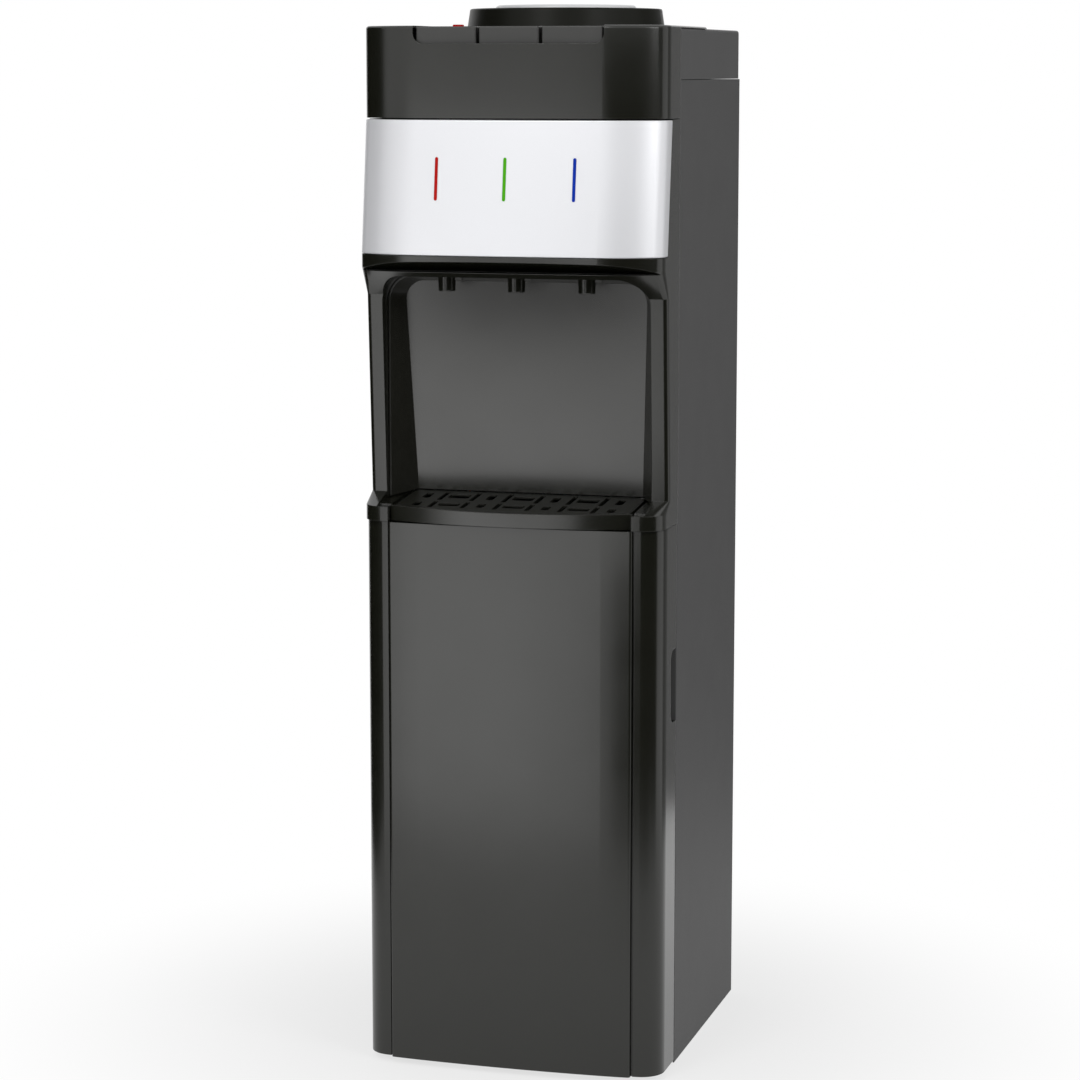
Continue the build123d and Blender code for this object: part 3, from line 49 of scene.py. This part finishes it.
# Studio, in metres.
WHITE = (1, 1, 1, 1)
BLACK = (0, 0, 0, 1)
SENSOR = 36.0  # millimetres
FLOOR_RADIUS = 30.0
SHADOW_START = 0.15  # distance from the middle where the floor begins to turn white
SHADOW_END = 0.7  # distance where it is all white
NEAR_WHITE = 0.7  # share of white within the start
KEY_TO_CORE = 7  # how many times the power of its core lamp the key lamp has

# Cards: name, start and end of the line they stand over, lower edge, upper edge, glow.
CARDS = (
    ("front_card", (-0.03, -1.17), (0.95, -0.75), 0.01, 1.08, 0.0),
    ("pillar_card", (-0.04, -1.08), (0.12, -1.08), 0.38, 0.66, 1.8),
    ("corner_card", (0.95, -0.75), (1.20, -0.32), 0.01, 1.6, 0.0),
    ("alcove_card", (-0.455, -1.14), (-0.13, -1.14), 0.505, 0.76, 0.0),
    ("left_card", (-0.80, -1.05), (-0.95, 0.50), 0.01, 0.85, 0.0),
    ("far_left_card", (-1.05, -0.60), (-1.05, 0.50), 0.01, 1.6, 0.0),
    ("back_card", (1.05, 0.40), (0.25, 1.10), 0.01, 1.6, 0.24),
)


# ---------------------------------------------------------------- settings
def colour(name, description, default):
    """Colour property with the usual limits."""
    return bpy.props.FloatVectorProperty(
        name=name, description=description, default=default,
        subtype="COLOR", size=3, min=0.0, max=1.0,
    )


def length(name, description, default):
    """Length property in metres."""
    return bpy.props.FloatProperty(
        name=name, description=description, default=default,
        min=0.0, subtype="DISTANCE", unit="LENGTH",
    )


def factor(name, description, default):
    """Property from 0 to 1."""
    return bpy.props.FloatProperty(
        name=name, description=description, default=default, min=0.0, max=1.0, subtype="FACTOR"
    )


def angle(name, description, degrees):
    """Angle property with its default in degrees."""
    return bpy.props.FloatProperty(
        name=name, description=description, default=math.radians(degrees), subtype="ANGLE"
    )


def power(name, description, default):
    """Lamp power in watts."""
    return bpy.props.FloatProperty(
        name=name, description=description, default=default, unit="POWER"
    )


class MouldingSizes(bpy.types.PropertyGroup):
    """Black moulded plastic and powder coat."""

    black: colour("Black", "Colour of the black mouldings", (0.0085, 0.0088, 0.006))
    key_black: colour("Key black", "Colour of the keys and rear fittings", (0.035, 0.035, 0.033))
    coat_black: colour("Coat black", "Colour of the sides and top cover", (0.082, 0.082, 0.082))
    liner_black: colour("Liner black", "Colour of the alcove liner", (0.014, 0.014, 0.011))
    gloss: factor("Roughness", "Roughness of the front mouldings", 0.2)
    coat_gloss: factor("Coat roughness", "Roughness of the steel sides", 0.55)
    grain: length("Grain", "Size of the moulded grain", 0.0007)
    grain_depth: length("Grain depth", "Depth of the moulded grain", 0.00001)


class FasciaSizes(bpy.types.PropertyGroup):
    """Pearl fascia and its marks."""

    pearl: colour("Pearl", "Colour of the fascia", (0.79, 0.795, 0.82))
    hot: colour("Hot mark", "Colour of the hot mark", (0.46, 0.004, 0.002))
    ambient: colour("Ambient mark", "Colour of the ambient mark", (0.07, 0.42, 0.004))
    cold: colour("Cold mark", "Colour of the cold mark", (0.0, 0.03, 0.38))
    flake: length("Flake", "Size of the pearl flakes", 0.00035)
    gloss: factor("Roughness", "Roughness of the lacquer", 0.37)


class SeatSizes(bpy.types.PropertyGroup):
    """Bottle seat, storage liner and other pale mouldings."""

    white: colour("White", "Colour of the bottle seat", (0.78, 0.79, 0.80))
    liner: colour("Liner", "Colour of the cabinet liner", (0.72, 0.72, 0.71))
    nylon: colour("Nylon", "Colour of the valves", (0.66, 0.65, 0.60))
    foam: colour("Foam", "Colour of the insulation", (0.80, 0.79, 0.74))
    hose: colour("Hose", "Colour of the silicone hoses and the probe", (0.62, 0.64, 0.62))


class MetalSizes(bpy.types.PropertyGroup):
    """Metals, enamel and rubber."""

    steel: colour("Steel", "Colour of stainless steel", (0.56, 0.56, 0.55))
    zinc: colour("Zinc", "Colour of galvanised sheet", (0.42, 0.43, 0.44))
    copper: colour("Copper", "Colour of the copper tube", (0.62, 0.27, 0.15))
    enamel: colour("Enamel", "Colour of the black enamel", (0.008, 0.008, 0.008))
    rubber: colour("Rubber", "Colour of feet and seals", (0.018, 0.018, 0.018))


class StudioSizes(bpy.types.PropertyGroup):
    """Camera, floor and lamps."""

    eye: bpy.props.FloatVectorProperty(
        name="Eye", description="Place of the camera", default=(0.880223, -3.123111, 1.010478),
        subtype="TRANSLATION", unit="LENGTH", size=3,
    )
    turn: angle("Turn", "Heading of the camera", 16.028)
    pitch: angle("Pitch", "How far the camera looks down", 8.53)
    lens: bpy.props.FloatProperty(
        name="Lens", description="Focal length in millimetres on a 36 mm sensor",
        default=104.77, min=10.0,
    )
    floor: colour("Floor", "Colour of the floor", (0.75, 0.75, 0.75))
    sky: bpy.props.FloatProperty(
        name="Sky", description="Strength of the even light", default=0.45, min=0.0
    )
    key_power: power("Key lamp", "Power of the tall lamp before the front", 2.1)
    top_power: power("Top lamp", "Power of the lamp above the front", 15.0)
    side_power: power("Side lamp", "Power of the lamp at the right", 16.0)


# ---------------------------------------------------------------- shader nodes
class Graph:
    """Node tree that nodes are added to and linked in."""

    def __init__(self, tree):
        self.tree = tree

    def node(self, kind, inputs=(), **settings):
        """Add a node, set its options, then link or set its inputs by name or index."""
        made = self.tree.nodes.new("ShaderNode" + kind)
        for key, value in settings.items():
            setattr(made, key, value)
        for key, value in dict(inputs).items():
            self.put(made.inputs[key], value)
        return made

    def put(self, socket, value):
        """Link an output, or store a plain value."""
        if isinstance(value, bpy.types.NodeSocket):
            self.tree.links.new(value, socket)
        else:
            socket.default_value = value

    def between(self, driver, low, high):
        """Map 0..1 to a range."""
        return self.node("MapRange", {"Value": driver, "To Min": low, "To Max": high}).outputs[0]

    def math(self, operation, first, second):
        """Product, larger value or the like of two values."""
        return self.node("Math", {0: first, 1: second}, operation=operation).outputs[0]

    def seen(self):
        """1 for what is seen straight, in reflections or through clear pieces, 0 for light."""
        rays = self.node("LightPath").outputs
        straight_or_gloss = self.math("MAXIMUM", rays["Is Camera Ray"], rays["Is Glossy Ray"])
        return self.math("MAXIMUM", straight_or_gloss, rays["Is Transmission Ray"])


class Sheet(Graph):
    """Node tree of one material, with a Principled shader at its end."""

    def __init__(self, name):
        self.material = bpy.data.materials.new(name)
        self.material.use_nodes = True
        super().__init__(self.material.node_tree)
        self.tree.nodes.clear()
        self.output = self.node("OutputMaterial")
        self.shader = self.node("BsdfPrincipled")
        self.put(self.output.inputs[0], self.shader.outputs[0])
        self.place = self.node("TexCoord").outputs["Object"]

    def set(self, **values):
        """Set shader inputs; underscores stand for spaces."""
        for key, value in values.items():
            self.put(self.shader.inputs[key.replace("_", " ")], value)

    def noise(self, size, detail=2.0, stretch=(1, 1, 1)):
        """Noise whose features are about a size in metres."""
        place = self.place
        if stretch != (1, 1, 1):
            place = self.node("Mapping", {"Vector": place, "Scale": stretch}).outputs[0]
        inputs = {"Vector": place, "Scale": 1.0 / size, "Detail": detail}
        return self.node("TexNoise", inputs).outputs[0]

    def cells(self, density, output="Distance", **settings):
        """Voronoi cells, so many to a metre."""
        inputs = {"Vector": self.place, "Scale": density}
        return self.node("TexVoronoi", inputs, **settings).outputs[output]

    def tint(self, driver, base, spread):
        """Colour that varies a little around a base."""
        darker = tuple(c * (1 - spread) for c in base) + (1,)
        lighter = tuple(min(1.0, c * (1 + spread)) for c in base) + (1,)
        # Inputs 6 and 7 and output 2 are the colour sockets of the mix node.
        return self.node("Mix", {0: driver, 6: darker, 7: lighter}, data_type="RGBA").outputs[2]

    def bump(self, height, depth, edge=0.0):
        """Bump of a depth in metres, over edges softened by a radius."""
        inputs = {"Height": height, "Distance": depth, "Strength": 1.0}
        if edge:
            inputs["Normal"] = self.node("Bevel", {"Radius": edge}, samples=4).outputs[0]
        self.set(Normal=self.node("Bump", inputs).outputs[0])


# ---------------------------------------------------------------- materials
def moulded(name, base, roughness, grain, depth, edge=0.0008, spread=0.12, shine=0.5):
    """Moulded plastic: fine grain, slow waviness and rubbed patches."""
    s = Sheet(name)
    rubbed = s.noise(size=0.06, detail=4)
    s.set(Base_Color=s.tint(s.noise(size=0.03, detail=3), base, spread), Specular_IOR_Level=shine)
    s.set(Roughness=s.between(rubbed, roughness - 0.04, roughness + 0.05))
    s.bump(s.noise(grain), depth, edge)
    return s.material


def powder_coat(name, base, roughness):
    """Baked powder coat with a soft orange peel."""
    s = Sheet(name)
    powder = s.noise(size=0.002, detail=3)
    s.set(Base_Color=s.tint(s.noise(size=0.05, detail=3), base, spread=0.08))
    s.set(Specular_IOR_Level=0.2)
    s.set(Roughness=s.between(powder, roughness - 0.04, roughness + 0.06))
    s.bump(s.noise(size=0.0025, detail=3), depth=0.00003, edge=0.0006)
    return s.material


def pearl_lacquer(name, base, roughness, flake):
    """Silver-white lacquer over fine flakes, under a clear coat."""
    s = Sheet(name)
    flakes = s.cells(density=1.0 / flake)
    s.set(Base_Color=s.tint(flakes, base, spread=0.025), Metallic=0.3)
    s.set(Coat_Weight=0.1, Coat_Roughness=0.12)
    s.set(Roughness=s.between(s.noise(size=0.08, detail=3), roughness - 0.04, roughness + 0.04))
    s.bump(flakes, depth=0.000006, edge=0.0008)
    return s.material


def glossy_mark(name, base):
    """Smooth inlaid mark with a faint mottling in its pigment."""
    s = Sheet(name)
    s.set(Base_Color=s.tint(s.noise(size=0.002), base, spread=0.06), Specular_IOR_Level=0.1)
    s.set(Roughness=s.between(s.noise(size=0.004), 0.38, 0.5))
    s.bump(s.noise(size=0.001), depth=0.000004, edge=0.0003)
    return s.material


def brushed(name, base, roughness=0.3, along=LEVEL_LINES):
    """Brushed metal, its lines across the stretched axis."""
    s = Sheet(name)
    lines = s.noise(size=0.02, detail=4, stretch=along)
    s.set(Base_Color=s.tint(lines, base, spread=0.08), Metallic=1.0)
    s.set(Roughness=s.between(lines, roughness - 0.08, roughness + 0.1))
    s.bump(lines, depth=0.000008)
    return s.material


def galvanised(name, base):
    """Galvanised sheet with its spangle."""
    s = Sheet(name)
    spangle = s.node("SeparateColor", {"Color": s.cells(density=160.0, output="Color")}).outputs[0]
    s.set(Base_Color=s.tint(spangle, base, spread=0.16), Metallic=0.85)
    s.set(Roughness=s.between(spangle, 0.36, 0.52))
    s.bump(s.noise(size=0.004), depth=0.00001, edge=0.0004)
    return s.material


def copper_tube(name, base):
    """Drawn copper with brown patches of tarnish."""
    s = Sheet(name)
    patches = s.noise(size=0.025, detail=5)
    s.set(Base_Color=s.tint(patches, base, spread=0.35), Metallic=1.0)
    s.set(Roughness=s.between(patches, 0.45, 0.25))
    s.bump(s.noise(size=0.003, detail=3), depth=0.00001)
    return s.material


def enamel(name, base):
    """Dipped black enamel with slow runs and a little dust."""
    s = Sheet(name)
    dust = s.noise(size=0.01, detail=4)
    s.set(Base_Color=s.tint(s.noise(size=0.02, detail=4), base, spread=0.3), Coat_Weight=0.2)
    s.set(Roughness=s.between(dust, 0.28, 0.5))
    s.bump(s.noise(size=0.012, detail=3, stretch=(1, 1, 0.4)), depth=0.0001, edge=0.0005)
    return s.material


def rubber(name, base):
    """Matte rubber with a bloom on it."""
    s = Sheet(name)
    s.set(Base_Color=s.tint(s.noise(size=0.008, detail=4), base, spread=0.3))
    s.set(Roughness=s.between(s.noise(size=0.003, detail=3), 0.7, 0.9))
    s.bump(s.noise(size=0.0012, detail=3), depth=0.00004, edge=0.0005)
    return s.material


def foam(name, base):
    """Moulded bead foam."""
    s = Sheet(name)
    beads = s.cells(density=260.0, feature="SMOOTH_F1")
    s.set(Base_Color=s.tint(beads, base, spread=0.05), Subsurface_Weight=0.1)
    s.set(Roughness=s.between(beads, 0.75, 0.95))
    s.bump(beads, depth=0.0004, edge=0.001)
    return s.material


def silicone(name, base):
    """Milky silicone hose."""
    s = Sheet(name)
    s.set(Base_Color=s.tint(s.noise(size=0.01, detail=3), base, spread=0.05))
    s.set(Subsurface_Weight=0.35, Transmission_Weight=0.15)
    s.set(Roughness=s.between(s.noise(size=0.006, detail=3), 0.3, 0.45))
    s.bump(s.noise(size=0.004), depth=0.00003)
    return s.material


def dress(material, *names):
    """Give CAD nodes one finish."""
    for name in names:
        mesh = NODES[name].data
        mesh.materials.clear()
        mesh.materials.append(material)


def of_taps(kind):
    """Names of the three nodes of one kind, one for each tap."""
    return [f"{kind}_{tap}" for tap in TAPS]


# ---------------------------------------------------------------- operators
class DISPENSER_OT_stage(bpy.types.Operator):
    """Build the camera, the floor, the lamps and the cards"""

    bl_idname = "dispenser.stage"
    bl_label = "Studio"

    def execute(self, context):
        look = context.scene.dispenser_studio
        context.scene.view_settings.view_transform = "Standard"
        self.camera(context, look)
        self.floor(context, look)
        self.world(context, look)
        core_power = look.key_power / KEY_TO_CORE
        lamps = (  # name, place, point that it faces, width, height, power
            ("key_lamp", (-0.39, -1.17, 0.465), (-0.39, 0.0, 0.465), 0.72, 0.93, look.key_power),
            ("key_core", (-0.42, -1.16, 0.465), (-0.42, 0.0, 0.465), 0.38, 0.93, core_power),
            ("top_lamp", (-0.5, -2.2, 2.3), (0, -0.1, 0.7), 0.9, 0.9, look.top_power),
            ("side_lamp", (2.0, -1.2, 1.6), (0.1, 0, 0.6), 1.0, 1.0, look.side_power),
        )
        for lamp in lamps:
            self.lamp(context, *lamp)
        for card in CARDS:
            self.card(context, *card)
        return {"FINISHED"}

    def camera(self, context, look):
        """Camera at the photograph's viewing angle."""
        data = bpy.data.cameras.new("photo_camera")
        data.sensor_width = SENSOR
        data.lens = look.lens
        camera = bpy.data.objects.new("photo_camera", data)
        camera.location = look.eye
        camera.rotation_euler = (math.pi / 2 - look.pitch, 0.0, look.turn)
        context.collection.objects.link(camera)
        context.scene.camera = camera

    def floor(self, context, look):
        """Pale floor that keeps the shadow and turns plain white further away."""
        bpy.ops.mesh.primitive_circle_add(vertices=96, radius=FLOOR_RADIUS, fill_type="NGON")
        floor = context.active_object
        floor.name = "studio_floor"
        s = Sheet("studio_floor")
        s.set(Base_Color=(*look.floor, 1), Roughness=0.9, Specular_IOR_Level=0.1)
        distance = s.node("VectorMath", {0: s.place}, operation="LENGTH").outputs["Value"]
        fade = {"From Min": SHADOW_START, "From Max": SHADOW_END, "To Min": NEAR_WHITE}
        away = s.node("MapRange", {"Value": distance, **fade}, interpolation_type="SMOOTHSTEP")
        amount = s.math("MULTIPLY", away.outputs[0], s.seen())
        white = s.node("Emission", {"Color": WHITE, "Strength": 1.0}).outputs[0]
        mix = s.node("MixShader", {0: amount, 1: s.shader.outputs[0], 2: white}).outputs[0]
        s.put(s.output.inputs[0], mix)
        floor.data.materials.append(s.material)

    def world(self, context, look):
        """White to the eye, in reflections and through clear pieces, softer as light."""
        world = bpy.data.worlds.new("studio_world")
        world.use_nodes = True
        context.scene.world = world
        graph = Graph(world.node_tree)
        back = graph.tree.nodes["Background"]
        graph.put(back.inputs["Color"], WHITE)
        graph.put(back.inputs["Strength"], graph.between(graph.seen(), look.sky, 1.0))

    def lamp(self, context, name, place, aim, wide, high, watts):
        """Soft rectangular lamp."""
        data = bpy.data.lights.new(name, "AREA")
        data.shape = "RECTANGLE"
        data.size, data.size_y, data.energy = wide, high, watts
        lamp = bpy.data.objects.new(name, data)
        lamp.location = place
        lamp.rotation_euler = (Vector(aim) - Vector(place)).to_track_quat("-Z", "Y").to_euler()
        lamp.visible_camera = False
        context.collection.objects.link(lamp)

    def card(self, context, name, start, end, low, high, glow):
        """Upright black or glowing card over a line on the floor that only reflections see."""
        (x0, y0), (x1, y1) = start, end
        middle = ((x0 + x1) / 2, (y0 + y1) / 2, (low + high) / 2)
        bpy.ops.mesh.primitive_plane_add(size=1.0, location=middle)
        card = context.active_object
        card.name = name
        card.scale = (math.hypot(x1 - x0, y1 - y0), high - low, 1.0)
        card.rotation_euler = (math.pi / 2, 0.0, math.atan2(y1 - y0, x1 - x0))
        card.visible_camera = card.visible_diffuse = card.visible_shadow = False
        s = Sheet(name)
        s.set(Base_Color=BLACK, Roughness=1.0, Specular_IOR_Level=0.0)
        s.set(Emission_Color=WHITE, Emission_Strength=glow)
        card.data.materials.append(s.material)


class DISPENSER_OT_mouldings(bpy.types.Operator):
    """Finish the black mouldings, the keys, the spouts and the steel sides"""

    bl_idname = "dispenser.mouldings"
    bl_label = "Black mouldings and sides"

    def execute(self, context):
        p = context.scene.dispenser_moulding
        plain = {"grain": p.grain, "depth": p.grain_depth}
        smooth = {"grain": p.grain, "depth": p.grain_depth / 5}
        coarse = {"grain": p.grain, "depth": 2 * p.grain_depth}
        dress(
            moulded("satin_black", p.black, roughness=p.gloss, shine=0.58, **plain),
            "head_cover", "front_frame", "door_panel", "door_frame", "drip_tray",
        )
        dress(moulded("cover_black", p.coat_black, roughness=0.4, shine=0.12, **plain), "top_cover")
        dress(
            moulded("collar_black", p.black, roughness=0.35, shine=0.12, **plain),
            "bottle_collar",
        )
        dress(
            moulded("liner_black", p.liner_black, roughness=0.22, shine=0.65, **smooth),
            "alcove_liner",
        )
        dress(moulded("key_black", p.key_black, roughness=0.42, **coarse), *of_taps("button"))
        dress(moulded("grid_black", p.black, roughness=0.4, edge=0.0005, **coarse), "drip_grid")
        dress(moulded("tap_black", p.black, roughness=0.2, **plain), *of_taps("spout"))
        dress(
            powder_coat("side_powder_coat", p.coat_black, p.coat_gloss),
            "left_side_panel", "right_side_panel",
        )
        dress(
            moulded("fitting_black", p.key_black, roughness=0.5, edge=0.0005, **coarse),
            "switch_bezels", "drain_outlet", "drain_cap", "cord_gland",
        )
        return {"FINISHED"}


class DISPENSER_OT_fascia(bpy.types.Operator):
    """Finish the pearl fascia, its marks, the child lock and the rear switches"""

    bl_idname = "dispenser.fascia"
    bl_label = "Fascia and marks"

    def execute(self, context):
        p = context.scene.dispenser_fascia
        dress(pearl_lacquer("pearl_lacquer", p.pearl, p.gloss, p.flake), "front_fascia")
        dress(glossy_mark("hot_red", p.hot), "mark_hot", "child_lock", "rocker_hot")
        dress(glossy_mark("ambient_green", p.ambient), "mark_ambient", "rocker_cold")
        dress(glossy_mark("cold_blue", p.cold), "mark_cold")
        return {"FINISHED"}


class DISPENSER_OT_pale_parts(bpy.types.Operator):
    """Finish the bottle seat, the probe, the storage liner, the valves and the foam"""

    bl_idname = "dispenser.pale_parts"
    bl_label = "Pale mouldings"

    def execute(self, context):
        p = context.scene.dispenser_seat
        fine = {"grain": 0.001, "depth": 0.00001}
        soft = {"grain": 0.0016, "depth": 0.00002}
        dress(moulded("seat_white", p.white, roughness=0.35, spread=0.02, **fine), "bottle_seat")
        dress(moulded("probe_white", p.hose, roughness=0.25, spread=0.02, **fine), "water_probe")
        dress(
            moulded("liner_white", p.liner, roughness=0.4, spread=0.02, **soft),
            "cabinet_liner", "door_inner",
        )
        dress(
            moulded("nylon", p.nylon, roughness=0.45, spread=0.03, **fine),
            "valve_bodies", "tank_lid", *of_taps("plunger"),
        )
        dress(foam("bead_foam", p.foam), "cold_tank_insulation", "hot_tank_jacket")
        dress(silicone("silicone_hose", p.hose), "water_hoses")
        return {"FINISHED"}


class DISPENSER_OT_metals(bpy.types.Operator):
    """Finish the tanks, the refrigeration, the sheet metal and the rubber"""

    bl_idname = "dispenser.metals"
    bl_label = "Metals and rubber"

    def execute(self, context):
        p = context.scene.dispenser_metal
        dress(brushed("tank_steel", p.steel), "cold_tank", "hot_tank", "heater_band")
        dress(
            brushed("plated_steel", p.steel, roughness=0.25, along=UPRIGHT_LINES),
            "button_rod", "door_hinges", "rear_screws",
        )
        dress(
            galvanised("galvanised_sheet", p.zinc),
            "base_plate", "rear_panel", "tank_shelves", "valve_bracket",
        )
        dress(copper_tube("copper_tube", p.copper), "evaporator_coil", "refrigerant_lines")
        dress(enamel("black_enamel", p.enamel), "compressor", "condenser")
        dress(rubber("black_rubber", p.rubber), "base_feet", "compressor_mounts", "door_gasket")
        return {"FINISHED"}


class DISPENSER_OT_springs(bpy.types.Operator):
    """Copy the three return springs into coil objects with a steel finish and hide the spring nodes
    """

    bl_idname = "dispenser.springs"
    bl_label = "Return springs"

    def execute(self, context):
        steel = context.scene.dispenser_metal.steel
        finish = brushed("spring_steel", steel, roughness=0.25, along=UPRIGHT_LINES)
        for tap in TAPS:
            node = f"spring_{tap}"
            coil = bpy.data.objects.new(f"coil_{tap}", NODES[node].data.copy())
            context.collection.objects.link(coil)
            coil.data.materials.clear()
            coil.data.materials.append(finish)
            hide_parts(node)
            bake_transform(coil)
        return {"FINISHED"}


STEPS = (
    DISPENSER_OT_stage,
    DISPENSER_OT_mouldings,
    DISPENSER_OT_fascia,
    DISPENSER_OT_pale_parts,
    DISPENSER_OT_metals,
    DISPENSER_OT_springs,
)
GROUPS = {
    "dispenser_moulding": MouldingSizes,
    "dispenser_fascia": FasciaSizes,
    "dispenser_seat": SeatSizes,
    "dispenser_metal": MetalSizes,
    "dispenser_studio": StudioSizes,
}


class DISPENSER_PT_panel(bpy.types.Panel):
    """Steps and settings of the dispenser"""

    bl_label = "Dispenser"
    bl_idname = "DISPENSER_PT_panel"
    bl_space_type = "VIEW_3D"
    bl_region_type = "UI"
    bl_category = "Dispenser"

    def draw(self, context):
        for step in STEPS:
            self.layout.operator(step.bl_idname)
        for name, group in GROUPS.items():
            box = self.layout.box()
            for key in group.__annotations__:
                box.prop(getattr(context.scene, name), key)


CLASSES = (*GROUPS.values(), *STEPS, DISPENSER_PT_panel)


def register():
    """Register the classes and hang the settings on the scene."""
    for cls in CLASSES:
        bpy.utils.register_class(cls)
    for name, group in GROUPS.items():
        setattr(bpy.types.Scene, name, bpy.props.PointerProperty(type=group))


def unregister():
    """Take everything off again."""
    for name in GROUPS:
        delattr(bpy.types.Scene, name)
    for cls in reversed(CLASSES):
        bpy.utils.unregister_class(cls)


def main():
    """Register, then run every step in order."""
    register()
    for step in STEPS:
        group, name = step.bl_idname.split(".")
        getattr(getattr(bpy.ops, group), name)()


if __name__ == "__main__":
    main()
